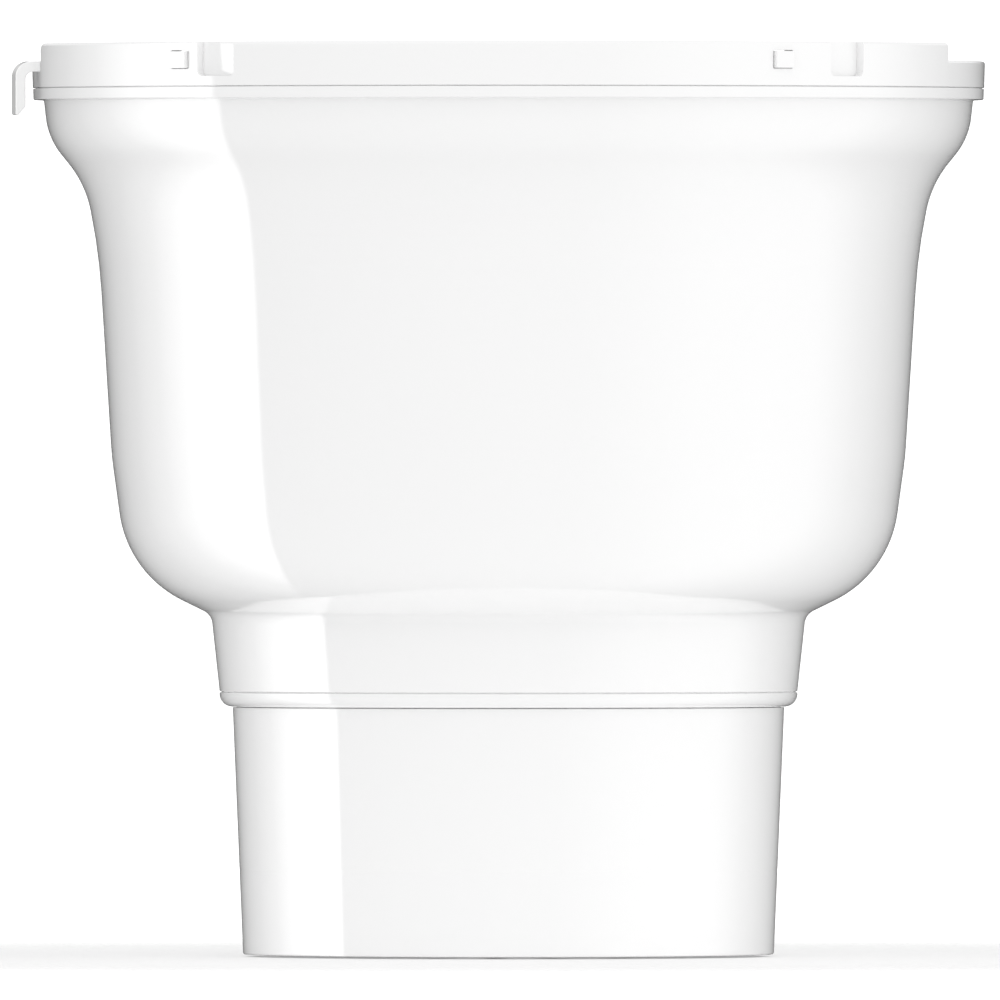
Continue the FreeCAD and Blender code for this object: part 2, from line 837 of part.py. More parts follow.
def choke():
    """Ring-core choke lying on the power board."""
    x, y = polar(component_circle, 45)
    return Part.makeTorus(choke_radius, choke_winding, V(x, y, power_board_top + choke_winding))


def relay():
    """Heater relay."""
    return on_power_board(relay_size, -40)


def fuse():
    """Fuse in its holder: two end posts and the glass tube between them."""
    length, width, height = fuse_size
    base = on_power_board((length, width, fuse_base_height), 0, fuse_circle)
    base_top, top = power_board_top + fuse_base_height, power_board_top + height
    posts = [block(fuse_post_width, width, base_top, top, (s * (length - fuse_post_width) / 2, -fuse_circle))
             for s in (-1, 1)]
    glass_length = length - 2 * fuse_post_width
    glass_start = V(-glass_length / 2, -fuse_circle, top - fuse_glass_drop)
    glass = Part.makeCylinder(fuse_glass_radius, glass_length, glass_start, V(1, 0, 0))
    return base.fuse(posts).fuse(glass)


def terminal_block():
    """Screw terminals for the mains leads."""
    shape = on_power_board(terminal_size, terminal_azimuth, terminal_circle)
    for step in (-1, 0, 1):
        hole = rod(1.8, power_board_top + terminal_size[2] - 3, power_board_top + terminal_size[2] + 1,
                   (step * 6.0, -terminal_circle - 2.5))
        shape = shape.cut(at_azimuth(hole, terminal_azimuth))
    return shape


def power_inlet():
    """Recessed mains socket: a shell with a front flange."""
    front = inlet_front()
    floor = front - inlet_flange_thickness
    body = inlet_body_size()
    back = front - inlet_socket_depth - 2
    shell = rear_block(inlet_flange, floor, front).fuse(rear_block(body, back, floor))
    shell = shell.cut(rear_block(inlet_socket, front - inlet_socket_depth, front + 1))
    return shell.cut(group(pin_blades(slip / 3)))


def pin_blades(margin=0.0):
    """The inlet's three pins, from their tails to their tips."""
    front = inlet_front()
    back = front - inlet_socket_depth - 2 - pin_tail
    blades = []
    for step, lift in ((-1, -1.5), (0, 2.5), (1, -1.5)):
        width, height = pin_size[1] + 2 * margin, pin_size[0] + 2 * margin
        corner = V(step * pin_spacing - width / 2, back, inlet_height + lift - height / 2)
        blades.append(Part.makeBox(width, front - pin_recess - back, height, corner))
    return blades


def inlet_pins():
    """Three flat mains pins."""
    return group(pin_blades())


def mains_leads():
    """Two leads from the inlet's tails to the terminal block, one past each side of the other."""
    start_y = inlet_front() - inlet_socket_depth - 2 - pin_tail
    height = inlet_height - 1.5
    top = power_board_top + terminal_size[2]
    near_y = motor_radius + 4.0
    leads = []
    for side, turn_y, tangential in ((1, near_y + 5.0, 5.0), (-1, near_y, -5.0)):
        radial = polar(terminal_circle, terminal_azimuth)
        along = polar(tangential, terminal_azimuth + 90)
        end = (radial[0] + along[0], radial[1] + along[1])
        route = [
            (side * pin_spacing, start_y, height),
            (side * pin_spacing, turn_y, height),
            (end[0], end[1], height),
            (end[0], end[1], top),
        ]
        leads.append(bent_tube(route, lead_radius, lead_bend))
    return group(leads)


def heater_ends(radius, height, gap):
    """Where a heating ring's arc ends and the level direction in which each end runs on."""
    ends = []
    for side in (1, -1):
        azimuth = 180 + side * (gap / 2 + math.degrees(heater_bend / radius))
        ends.append((V(*polar(radius, azimuth), height), V(*polar(1.0, azimuth - 90 * side), 0)))
    return ends


def heater_leg_places():
    """Places of the four heater legs on the bulkhead."""
    places = []
    for radius, gap in ((outer_heater_radius, outer_heater_gap), (inner_heater_radius, inner_heater_gap)):
        for end, along in heater_ends(radius, 0.0, gap):
            leg = end + along * heater_bend
            places.append((leg.x, leg.y))
    return places


def heater_pin_top():
    """Height of the heater legs' terminal ends."""
    return plate_top + heater_pin_rise


def heater_leads():
    """Straight leads from the heater terminals to the power board."""
    return group([rod(lead_radius, heater_pin_top(), power_board_bottom, p) for p in heater_leg_places()])


def bulkhead_gasket():
    """Flat gasket between the ledge and the bulkhead plate."""
    gasket = tube(neck_bore_radius, ledge_radius, ledge_top, plate_bottom)
    for azimuth in range(45, 360, 90):
        gasket = gasket.cut(rod(screw_radius + slip, 0, lip_top, polar(plate_screw_circle, azimuth)))
    return gasket


def sensor_places():
    """Places and radii of the probe and the electrodes on the bulkhead."""
    places = [(polar(sensor_circle, probe_azimuth), probe_radius)]
    return places + [(polar(sensor_circle, a), electrode_radius) for a in electrode_azimuths]


def bulkhead_plate():
    """Steel plate between the dry bowl and the wet neck, with every hole that passes through it."""
    plate = rod(plate_radius, plate_bottom, plate_top).cut(rod(seal_radius, 0, lip_top))
    holes = [rod(screw_radius + slip, 0, lip_top, polar(plate_screw_circle, a)) for a in range(45, 360, 90)]
    holes += [rod(heater_tube_radius + heater_bushing_wall, 0, lip_top, p) for p in heater_leg_places()]
    holes += [rod(radius, 0, lip_top, place) for place, radius in sensor_places()]
    holes += [rod(screw_radius, 0, lip_top, polar(draft_screw_circle, a)) for a in (60, 180, 300)]
    return plate.cut(holes)


def bulkhead_screws():
    """Screws through the bulkhead plate into the ledge."""
    places = [polar(plate_screw_circle, a) for a in range(45, 360, 90)]
    return group([screw(p, plate_top, plate_thickness + gasket_thickness + 3.5) for p in places])


def triac():
    """Heater switch clamped flat on the bulkhead plate, which cools it."""
    width, length, height = triac_size
    tab = block(width, length, plate_top, plate_top + 1.4, (0, -triac_circle))
    body = block(width, length - 5, plate_top, plate_top + height, (0, -triac_circle + 2.5))
    tab = tab.cut(rod(1.6, 0, lip_top, (0, -triac_circle - 5)))
    return at_azimuth(tab.fuse(body), 90)


def thermal_cutoff():
    """Overheat switch on the bulkhead plate."""
    centre = polar(outer_heater_radius, -95)
    return rod(cutoff_radius, plate_top, plate_top + cutoff_height, centre).fuse(
        block(12, 3, plate_top, plate_top + 1.0, centre))


def motor_isolators():
    """Rubber posts that carry the motor bracket."""
    places = [polar(isolator_circle, a) for a in isolator_azimuths]
    shapes = []
    for place in places:
        x, y = place
        post = rod(isolator_radius, plate_top, bracket_bottom, place)
        groove = Part.makeTorus(isolator_radius + 0.6, 1.4, V(x, y, (plate_top + bracket_bottom) / 2))
        shapes.append(post.cut(groove))
    return group(shapes)


def motor_bracket():
    """Three-armed plate under the motor."""
    plate = rod(motor_radius, bracket_bottom, motor_bottom)
    for azimuth in isolator_azimuths:
        middle = (0, -isolator_circle / 2)
        arm = block(bracket_arm_width, isolator_circle, bracket_bottom, motor_bottom, middle)
        tip = rod(bracket_arm_width / 2, bracket_bottom, motor_bottom, (0, -isolator_circle))
        plate = plate.fuse(at_azimuth(arm.fuse(tip), azimuth))
    return plate.cut(rod(motor_boss_radius + slip, 0, lip_top))


def motor_can():
    """Motor cup with the lower bearing's boss."""
    cup = rod(motor_radius, motor_bottom, motor_top)
    cup = cup.cut(rod(motor_radius - motor_wall, motor_bottom + motor_floor, motor_top + 1))
    cup = cup.fuse(rod(motor_boss_radius, bracket_bottom, motor_bottom + 0.1))
    return cup.cut(rod(bearing_radius, 0, lip_top))


def motor_end_cap():
    """Lid of the motor, with the upper bearing's seat and cooling holes."""
    lid = rod(motor_radius, motor_top, motor_top + end_cap_thickness)
    lid = lid.fuse(rod(motor_radius - motor_wall - slip, motor_top - 1.5, motor_top))
    lid = lid.cut(rod(motor_radius - motor_wall - 2, motor_top - 2, motor_top))
    holes = [rod(1.5, motor_top - 2, lip_top, polar(11.0, a)) for a in range(0, 360, 60)]
    return lid.cut(holes).cut(rod(bearing_radius, 0, lip_top))


def bearing(bottom):
    """Shielded ball bearing as a grooved ring round the motor shaft."""
    ring = tube(bearing_radius, motor_shaft_radius + running, bottom, bottom + bearing_width)
    grooves = [tube(bearing_radius - 1.2, motor_shaft_radius + 1.0, z - 0.4, z + 0.4)
               for z in (bottom, bottom + bearing_width)]
    return ring.cut(grooves)


def motor_bearings():
    """Lower and upper bearings of the motor shaft."""
    return group([bearing(bracket_bottom), bearing(motor_top + end_cap_thickness - bearing_width)])


def stator():
    """Toothed stator ring inside the motor can."""
    outer = motor_radius - motor_wall - 0.02
    ring = tube(outer, outer - stator_yoke, stator_bottom, stator_bottom + stator_length)
    inner = rotor_radius + air_gap
    length = outer - stator_yoke - inner + 0.5
    for i in range(stator_teeth):
        tooth = block(tooth_width, length, stator_bottom, stator_bottom + stator_length,
                      (0, -(inner + length / 2)))
        ring = ring.fuse(at_azimuth(tooth, i * 360 / stator_teeth))
    return ring.cut(rod(inner, 0, lip_top))


def stator_windings():
    """Copper windings, one round each tooth."""
    inner = rotor_radius + air_gap + 0.8
    outer = motor_radius - motor_wall - stator_yoke - 0.5
    middle = (0, -(inner + outer) / 2)
    shapes = []
    for i in range(stator_teeth):
        coil = block(tooth_width + 2 * winding_thickness, outer - inner, stator_bottom - winding_thickness,
                     stator_bottom + stator_length + winding_thickness, middle)
        coil = coil.cut(block(tooth_width, 2 * outer, stator_bottom, stator_bottom + stator_length, middle))
        shapes.append(at_azimuth(coil, i * 360 / stator_teeth))
    return group(shapes)


def rotor():
    """Magnet rotor on the motor shaft."""
    return tube(rotor_radius, motor_shaft_radius, stator_bottom, stator_bottom + stator_length)


def coupling_bottom():
    """Height of the coupling's lower face."""
    return plate_top + coupling_lift


def shaft_joint():
    """Height at which the motor shaft meets the drive shaft inside the coupling."""
    return coupling_bottom() + coupling_length / 2


def motor_shaft():
    """Motor shaft from the coupling to the upper bearing."""
    return rod(motor_shaft_radius, shaft_joint(), motor_top + end_cap_thickness)


def shaft_coupling():
    """Sleeve that joins the motor shaft to the drive shaft, with two grub-screw holes."""
    bottom = coupling_bottom()
    top = bottom + coupling_length
    body = rod(coupling_radius, bottom, top)
    body = body.cut(rod(drive_shaft_radius, 0, shaft_joint()))
    body = body.cut(rod(motor_shaft_radius, shaft_joint(), lip_top))
    for height in (bottom + 2.5, top - 2.5):
        body = body.cut(Part.makeCylinder(1.2, coupling_radius, V(0, -1, height), V(0, -1, 0)))
    return body


def drive_shaft():
    """Steel shaft from the coupling down to the lower bush."""
    return rod(drive_shaft_radius, drive_shaft_bottom, shaft_joint())


def shaft_seal():
    """Flanged lip seal in the bulkhead's centre."""
    seal = rod(seal_radius, plate_bottom, plate_top + seal_top_lift)
    seal = seal.fuse(rod(seal_radius + seal_flange, plate_bottom - seal_flange_thickness, plate_bottom))
    return seal.cut(rod(drive_shaft_radius + running, 0, lip_top))


def draft_tube():
    """Tube round the impeller, hung from the bulkhead on three posts, with a spider at its outlet."""
    outer = draft_tube_radius + draft_tube_wall
    flange_bottom_height = plate_bottom - draft_flange_thickness
    window_bottom = flange_bottom_height - draft_window_height
    shape = tube(outer, draft_tube_radius, draft_tube_bottom, window_bottom)
    shape = shape.fuse(tube(draft_flange_radius, draft_tube_radius, flange_bottom_height, plate_bottom))
    section = [(outer, window_bottom - 1), (outer, plate_bottom), (draft_tube_radius, plate_bottom),
               (draft_tube_radius, window_bottom - 1)]
    for azimuth in (60, 180, 300):
        post = turned_solid(section, azimuth - draft_post_angle / 2, draft_post_angle)
        shape = shape.fuse(post)
        pilot = rod(screw_radius, plate_bottom - draft_flange_thickness - 0.1, plate_bottom,
                    polar(draft_screw_circle, azimuth))
        shape = shape.cut(pilot)
    hub = tube(spider_hub, lower_bush_radius, spider_bottom, spider_bottom + spider_height)
    for azimuth in (0, 120, 240):
        arm = block(spider_arm, draft_tube_radius - spider_hub + 1,
                    spider_bottom, spider_bottom + spider_height,
                    (0, -(draft_tube_radius + spider_hub) / 2))
        hub = hub.fuse(at_azimuth(arm, azimuth))
    return shape.fuse(hub)


def draft_tube_screws():
    """Screws from the dry side into the draft tube's flange."""
    places = [polar(draft_screw_circle, a) for a in (60, 180, 300)]
    return group([screw(p, plate_top, plate_thickness + draft_flange_thickness) for p in places])


def lower_bush():
    """Plain bush in the spider for the drive shaft's end."""
    top = spider_bottom + spider_height
    return tube(lower_bush_radius, drive_shaft_radius + running, spider_bottom, top)


def impeller():
    """Axial impeller with pitched blades on the drive shaft."""
    top = impeller_bottom + impeller_height
    hub = rod(impeller_hub, impeller_bottom, top)
    tip = draft_tube_radius - impeller_tip_gap
    width = impeller_height / math.sin(math.radians(blade_pitch)) * 0.9
    for i in range(impeller_blades):
        blade = Part.makeBox(width, tip, blade_thickness, V(-width / 2, -tip, -blade_thickness / 2))
        blade.rotate(V(0, 0, 0), V(0, 1, 0), blade_pitch)
        blade.translate(V(0, 0, (impeller_bottom + top) / 2))
        hub = hub.fuse(at_azimuth(blade, i * 360 / impeller_blades))
    hub = hub.common(rod(tip, impeller_bottom, top))
    return hub.cut(rod(drive_shaft_radius, 0, lip_top))


def heater(radius, height, gap):
    """Ring-shaped heating tube whose two ends rise through the bulkhead at the rear."""
    first, last = heater_ends(radius, height, gap)
    arc = Part.Arc(first[0], V(0, -radius, height), last[0]).toShape()
    top = heater_pin_top()
    tubes = [swept([arc], heater_tube_radius)]
    for end, along in (first, last):
        centre = end + V(0, 0, heater_bend)
        bow = centre + (along - V(0, 0, 1)).normalize() * heater_bend
        rise = centre + along * heater_bend
        tubes.append(swept([Part.Arc(end, bow, rise).toShape()], heater_tube_radius))
        tubes.append(Part.makeCylinder(heater_tube_radius, top - rise.z, rise))
    return tubes[0].fuse(tubes[1:])


def outer_heater():
    """Larger, lower heating ring."""
    return heater(outer_heater_radius, outer_heater_height, outer_heater_gap)


def inner_heater():
    """Smaller, higher heating ring."""
    return heater(inner_heater_radius, inner_heater_height, inner_heater_gap)


def heater_bushings():
    """Insulating bushings round the heater legs in the bulkhead."""
    outer = heater_tube_radius + heater_bushing_wall
    top = plate_top + heater_bushing_height
    return group([tube(outer, heater_tube_radius, plate_bottom, top, p) for p in heater_leg_places()])


def temperature_probe():
    """Closed steel probe through the bulkhead, with a round tip."""
    x, y = polar(sensor_circle, probe_azimuth)
    stem = rod(probe_radius, probe_bottom, plate_top + sensor_rise, (x, y))
    return stem.fuse(Part.makeSphere(probe_radius, V(x, y, probe_bottom)))


def level_electrodes():
    """Two rods whose lower ends sense the lowest water level."""
    places = [polar(sensor_circle, a) for a in electrode_azimuths]
    return group([rod(electrode_radius, electrode_bottom, plate_top + sensor_rise, p) for p in places])


def skirt():
    """Removable tapered skirt with its spigot, O-ring groove and grille seat."""
    spigot_radius = neck_bore_radius - slip
    spigot_inner = skirt_top_radius - skirt_wall - 1.0
    top = skirt_top + spigot_length
    seat_height = grille_recess + grille_thickness
    seat_radius = foot_radius - grille_seat
    shape = turned_solid(
        [
            (foot_radius, 0, foot_rounding),
            (skirt_top_radius, skirt_top - 0.1),
            (spigot_radius, skirt_top - 0.1),
            (spigot_radius, top, 0.5),
            (spigot_inner, top),
            (spigot_inner, skirt_top - 6.0),
            (foot_radius - skirt_wall, seat_height),
            (seat_radius, seat_height),
            (seat_radius, 0),
        ]
    )
    centre = skirt_top + o_ring_height
    reach = o_ring_radius + o_ring_side_gap
    groove = tube(spigot_radius + 1, groove_radius(), centre - reach, centre + reach)
    return shape.cut(groove)


def groove_radius():
    """Bottom radius of the O-ring groove."""
    return neck_bore_radius - 2 * running - 2 * o_ring_radius


def skirt_o_ring():
    """O-ring that seals and holds the skirt in the neck."""
    major = groove_radius() + running + o_ring_radius
    return Part.makeTorus(major, o_ring_radius, V(0, 0, skirt_top + o_ring_height))


def bottom_grille():
    """Snap-in grille: intake slots round a guarded outlet."""
    bottom = grille_recess
    top = grille_recess + grille_thickness
    disc = rod(foot_radius - grille_seat, bottom, top)
    slots = []
    for i in range(grille_slots):
        length = slot_outer - slot_inner - slot_width
        slot = block(slot_width, length, 0, 10, (0, -(slot_inner + slot_outer) / 2))
        for end in (slot_inner + slot_width / 2, slot_outer - slot_width / 2):
            slot = slot.fuse(rod(slot_width / 2, 0, 10, (0, -end)))
        slots.append(at_azimuth(slot, i * 360 / grille_slots))
    disc = disc.cut(slots).cut(rod(outlet_radius, 0, 10))
    guard = tube(guard_radius + guard_bar / 2, guard_radius - guard_bar / 2, bottom, top)
    guard = guard.fuse(rod(guard_bar, bottom, top))
    for i in range(guard_bars):
        bar = block(guard_bar, outlet_radius + 0.5, bottom, top, (0, -(outlet_radius + 0.5) / 2))
        guard = guard.fuse(at_azimuth(bar, i * 360 / guard_bars))
    return disc.fuse(guard)


NODES = {
    "bell_housing": bell_housing,
    "control_ring": control_ring,
    "pot_hook": pot_hook,
    "ring_gasket": ring_gasket,
    "ring_screws": ring_screws,
    "top_deck": top_deck,
    "display_window": display_window,
    "status_lens": status_lens,
    "display_module": display_module,
    "dial_encoder": dial_encoder,
    "dial": dial,
    "button_switches": button_switches,
    "control_board": control_board,
    "control_board_screws": control_board_screws,
    "buzzer": buzzer,
    "board_connectors": board_connectors,
    "ribbon_cable": ribbon_cable,
    "power_board": power_board,
    "power_board_screws": power_board_screws,
    "transformer": transformer,
    "capacitors": capacitors,
    "choke": choke,
    "relay": relay,
    "fuse": fuse,
    "terminal_block": terminal_block,
    "power_inlet": power_inlet,
    "inlet_pins": inlet_pins,
    "mains_leads": mains_leads,
    "heater_leads": heater_leads,
    "bulkhead_gasket": bulkhead_gasket,
    "bulkhead_plate": bulkhead_plate,
    "bulkhead_screws": bulkhead_screws,
    "triac": triac,
    "thermal_cutoff": thermal_cutoff,
    "motor_isolators": motor_isolators,
    "motor_bracket": motor_bracket,
    "motor_can": motor_can,
    "motor_end_cap": motor_end_cap,
    "motor_bearings": motor_bearings,
    "stator": stator,
    "stator_windings": stator_windings,
    "rotor": rotor,
    "motor_shaft": motor_shaft,
    "shaft_coupling": shaft_coupling,
    "drive_shaft": drive_shaft,
    "shaft_seal": shaft_seal,
    "draft_tube": draft_tube,
    "draft_tube_screws": draft_tube_screws,
    "lower_bush": lower_bush,
    "impeller": impeller,
    "outer_heater": outer_heater,
    "inner_heater": inner_heater,
    "heater_bushings": heater_bushings,
    "temperature_probe": temperature_probe,
    "level_electrodes": level_electrodes,
    "skirt": skirt,
    "skirt_o_ring": skirt_o_ring,
    "bottom_grille": bottom_grille,
}


def main():
    """Write each node's solid or solids to its own STEP file."""
    os.makedirs("parts", exist_ok=True)
    for name, make in NODES.items():
        make().exportStep(f"parts/{name}.step")
    for name, centre in button_centres.items():
        button(centre).exportStep(f"parts/{name}.step")


main()
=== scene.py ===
"""Looks of the bell-shaped immersion circulator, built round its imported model."""

import logging
import math
from dataclasses import dataclass, field
from enum import Enum

import bmesh
import bpy
import numpy as np
from mathutils import Matrix, Vector


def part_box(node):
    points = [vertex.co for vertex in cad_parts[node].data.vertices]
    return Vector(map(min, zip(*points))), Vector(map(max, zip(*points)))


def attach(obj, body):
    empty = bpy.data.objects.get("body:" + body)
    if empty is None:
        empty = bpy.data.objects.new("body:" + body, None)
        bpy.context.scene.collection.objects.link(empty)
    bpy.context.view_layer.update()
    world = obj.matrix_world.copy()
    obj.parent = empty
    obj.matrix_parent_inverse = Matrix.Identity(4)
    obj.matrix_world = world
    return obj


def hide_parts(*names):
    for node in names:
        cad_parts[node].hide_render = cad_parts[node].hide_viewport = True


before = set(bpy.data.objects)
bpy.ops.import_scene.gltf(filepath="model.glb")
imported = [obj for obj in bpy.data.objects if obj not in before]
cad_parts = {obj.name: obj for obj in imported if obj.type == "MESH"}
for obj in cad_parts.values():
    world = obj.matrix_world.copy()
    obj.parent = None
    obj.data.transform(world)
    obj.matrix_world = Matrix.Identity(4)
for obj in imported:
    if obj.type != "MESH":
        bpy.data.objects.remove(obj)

LOG = logging.getLogger("circulator")
MM = 0.001
SHARP_ANGLE = math.radians(32)
ROUND_END = 0.999
NOISE_RANGE = (0.3, 0.7)
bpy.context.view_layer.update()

Point = tuple[float, float]
Corner = tuple[float, float, float]
Colour = tuple[float, float, float]
Triple = tuple[float, float, float]


class Body(Enum):
    """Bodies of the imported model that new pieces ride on."""

    MAIN = "main_body"
    DIAL = "dial_body"
    TIMER = "timer_button_body"
    START = "start_button_body"
    SKIRT = "skirt_body"


class Slot(Enum):
    """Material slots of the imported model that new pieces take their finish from."""

    SHELL = "shell_white"
    GRILLE = "grille_white"
    DIAL = "dial_metal"
    BUTTON = "button_white"
    WINDOW = "window_glass"
    LENS = "lens_clear"
    BLACK = "black_plastic"
    PIN = "pin_brass"


# ---------------------------------------------------------------- outlines


def rounded(corners: list[Corner], closed: bool = True, turn: float = 4.0) -> list[Point]:
    """Samples an outline whose corners are rounded.

    Args:
        corners: (across, along, rounding) of each corner, in millimetres.
        closed: Whether the last corner joins the first.
        turn: Largest turn between neighbouring points, in degrees.

    Returns:
        The outline's points, in millimetres.
    """
    count = len(corners)
    spots = [np.array(c[:2], float) for c in corners]
    sides = [np.linalg.norm(spots[(i + 1) % count] - spots[i]) for i in range(count)]
    reach = []
    for i, corner in enumerate(corners):
        if corner[2] <= 0 or (not closed and i in (0, count - 1)):
            reach.append(0.0)
            continue
        back, ahead = _headings(spots, i)
        half = math.acos(float(np.clip(back @ ahead, -1, 1))) / 2
        reach.append(corner[2] / math.tan(half))
    points: list[Point] = []
    for i, spot in enumerate(spots):
        before = sides[i - 1] / max(reach[i - 1] + reach[i], sides[i - 1], 1e-9)
        after = sides[i] / max(reach[i] + reach[(i + 1) % count], sides[i], 1e-9)
        length = reach[i] * min(1.0, before, after)
        if length <= 1e-6:
            points.append((float(spot[0]), float(spot[1])))
            continue
        back, ahead = _headings(spots, i)
        half = math.acos(float(np.clip(back @ ahead, -1, 1))) / 2
        radius = length * math.tan(half)
        inward = (back + ahead) / np.linalg.norm(back + ahead)
        centre = spot + inward * (radius / math.sin(half))
        first, last = spot + back * length - centre, spot + ahead * length - centre
        sweep = math.atan2(first[0] * last[1] - first[1] * last[0], first @ last)
        steps = max(2, math.ceil(abs(math.degrees(sweep)) / turn))
        for k in range(steps + 1):
            c, s = math.cos(sweep * k / steps), math.sin(sweep * k / steps)
            points.append((float(centre[0] + first[0] * c - first[1] * s),
                           float(centre[1] + first[0] * s + first[1] * c)))
    return points


def _headings(spots: list[np.ndarray], i: int) -> tuple[np.ndarray, np.ndarray]:
    """Unit directions from a corner back to the one before and on to the next.

    Args:
        spots: The outline's corners.
        i: Number of the corner.

    Returns:
        The direction back and the direction on.
    """
    back = spots[i - 1] - spots[i]
    ahead = spots[(i + 1) % len(spots)] - spots[i]
    return back / np.linalg.norm(back), ahead / np.linalg.norm(ahead)


def steadied(points: list[Point], closed: bool, margin: float = 0.2) -> list[Point]:
    """Adds a point near each end of every long straight run, so that its shading stays even.

    Args:
        points: The outline, in millimetres.
        closed: Whether the last point joins the first.
        margin: Distance of the added points from the run's ends.

    Returns:
        The outline with the added points.
    """
    result: list[Point] = []
    count = len(points)
    for i, (x, y) in enumerate(points):
        result.append((x, y))
        if not closed and i == count - 1:
            break
        nx, ny = points[(i + 1) % count]
        length = math.hypot(nx - x, ny - y)
        if length > 5 * margin:
            share = margin / length
            result.append((x + (nx - x) * share, y + (ny - y) * share))
            result.append((nx - (nx - x) * share, ny - (ny - y) * share))
    return result


def moved_in(points: list[Point], wall: float) -> list[Point]:
    """The inner side of a wall whose outside is an open outline running downwards.

    Args:
        points: The outside, in millimetres.
        wall: Thickness of the wall.

    Returns:
        The inside, point for point.
    """
    spots = np.array(points)
    along = np.gradient(spots, axis=0)
    along /= np.linalg.norm(along, axis=1)[:, None]
    inner = spots + wall * np.stack([along[:, 1], -along[:, 0]], axis=1)
    return [(float(x), float(y)) for x, y in inner]


def circle(radius: float, centre: Point = (0.0, 0.0), count: int = 96) -> list[Point]:
    """Points round a circle, anticlockwise."""
    return [(centre[0] + radius * math.cos(2 * math.pi * i / count),
             centre[1] + radius * math.sin(2 * math.pi * i / count)) for i in range(count)]


def rounded_rectangle(size: Point, rounding: float, centre: Point = (0.0, 0.0)) -> list[Point]:
    """Points round a rectangle with rounded corners, anticlockwise.

    Args:
        size: Width and height, in millimetres.
        rounding: Radius of the corners.
        centre: Middle of the rectangle.

    Returns:
        The outline's points.
    """
    x, y = size[0] / 2, size[1] / 2
    corners = [(-x, -y), (x, -y), (x, y), (-x, y)]
    return rounded([(centre[0] + a, centre[1] + b, rounding) for a, b in corners], turn=9.0)


def radial_slot(inner: float, outer: float, width: float, azimuth: float) -> list[Point]:
    """Points round a slot with round ends that points outwards at an azimuth.

    Args:
        inner: Radius where the slot starts, in millimetres.
        outer: Radius where it ends.
        width: Width of the slot.
        azimuth: Direction that it points in, in degrees.

    Returns:
        The outline's points.
    """
    half = width / 2
    end = half * ROUND_END
    shape = rounded([(-half, inner, end), (half, inner, end), (half, outer, end), (-half, outer, end)],
                    turn=15.0)
    c, s = math.cos(math.radians(azimuth)), math.sin(math.radians(azimuth))
    return [(x * c - y * s, x * s + y * c) for x, y in shape]


def anticlockwise(outline: list[Point]) -> list[Point]:
    """Turns an outline's order round where it runs clockwise.

    Args:
        outline: The outline, in millimetres.

    Returns:
        The same points, anticlockwise.
    """
    area = sum(x0 * y1 - x1 * y0 for (x0, y0), (x1, y1) in zip(outline, outline[1:] + outline[:1]))
    return outline if area > 0 else outline[::-1]


# ------------------------------------------------------------------ meshes


def new_piece(name: str, mesh: bpy.types.Mesh) -> bpy.types.Object:
    """Links a mesh into the scene as a piece.

    Args:
        name: The piece's name.
        mesh: Its mesh.

    Returns:
        The piece.
    """
    piece = bpy.data.objects.new(name, mesh)
    bpy.context.scene.collection.objects.link(piece)
    return piece


def even_shading(piece: bpy.types.Object) -> bpy.types.Object:
    """Shades a piece smoothly, apart from its sharp edges, with its faces turned outwards.

    Args:
        piece: The piece.

    Returns:
        The same piece.
    """
    work = bmesh.new()
    work.from_mesh(piece.data)
    bmesh.ops.remove_doubles(work, verts=work.verts, dist=1e-7)
    bmesh.ops.dissolve_degenerate(work, edges=work.edges, dist=1e-8)
    bmesh.ops.recalc_face_normals(work, faces=work.faces)
    for face in work.faces:
        face.smooth = True
    for edge in work.edges:
        edge.smooth = not (len(edge.link_faces) == 2 and edge.calc_face_angle(0.0) > SHARP_ANGLE)
    work.to_mesh(piece.data)
    work.free()
    return piece


def lofted(name: str, columns: np.ndarray) -> bpy.types.Object:
    """Skins closed sections that follow each other round and end where they start.

    Args:
        name: The piece's name.
        columns: Array of (column, point, xyz) in millimetres.

    Returns:
        The piece.
    """
    count, size = columns.shape[:2]
    spots = (columns.reshape(-1, 3) * MM).tolist()
    faces = []
    for i in range(count):
        j = (i + 1) % count
        for k in range(size):
            m = (k + 1) % size
            faces.append((i * size + k, j * size + k, j * size + m, i * size + m))
    mesh = bpy.data.meshes.new(name)
    mesh.from_pydata(spots, [], faces)
    return even_shading(new_piece(name, mesh))


def turned(name: str, outline: list[Point], centre: Point = (0.0, 0.0),
           segments: int = 256) -> bpy.types.Object:
    """Turns a closed (radius, height) outline round an upright axis.

    Args:
        name: The piece's name.
        outline: Points of (radius, height), in millimetres.
        centre: Where the axis stands.
        segments: Number of facets round the axis.

    Returns:
        The piece.
    """
    section = np.array(steadied(outline, True))
    angles = np.linspace(0, 2 * math.pi, segments, endpoint=False)
    columns = np.zeros((segments, len(section), 3))
    columns[:, :, 0] = centre[0] + np.sin(angles)[:, None] * section[None, :, 0]
    columns[:, :, 1] = centre[1] - np.cos(angles)[:, None] * section[None, :, 0]
    columns[:, :, 2] = section[None, :, 1]
    return lofted(name, columns)


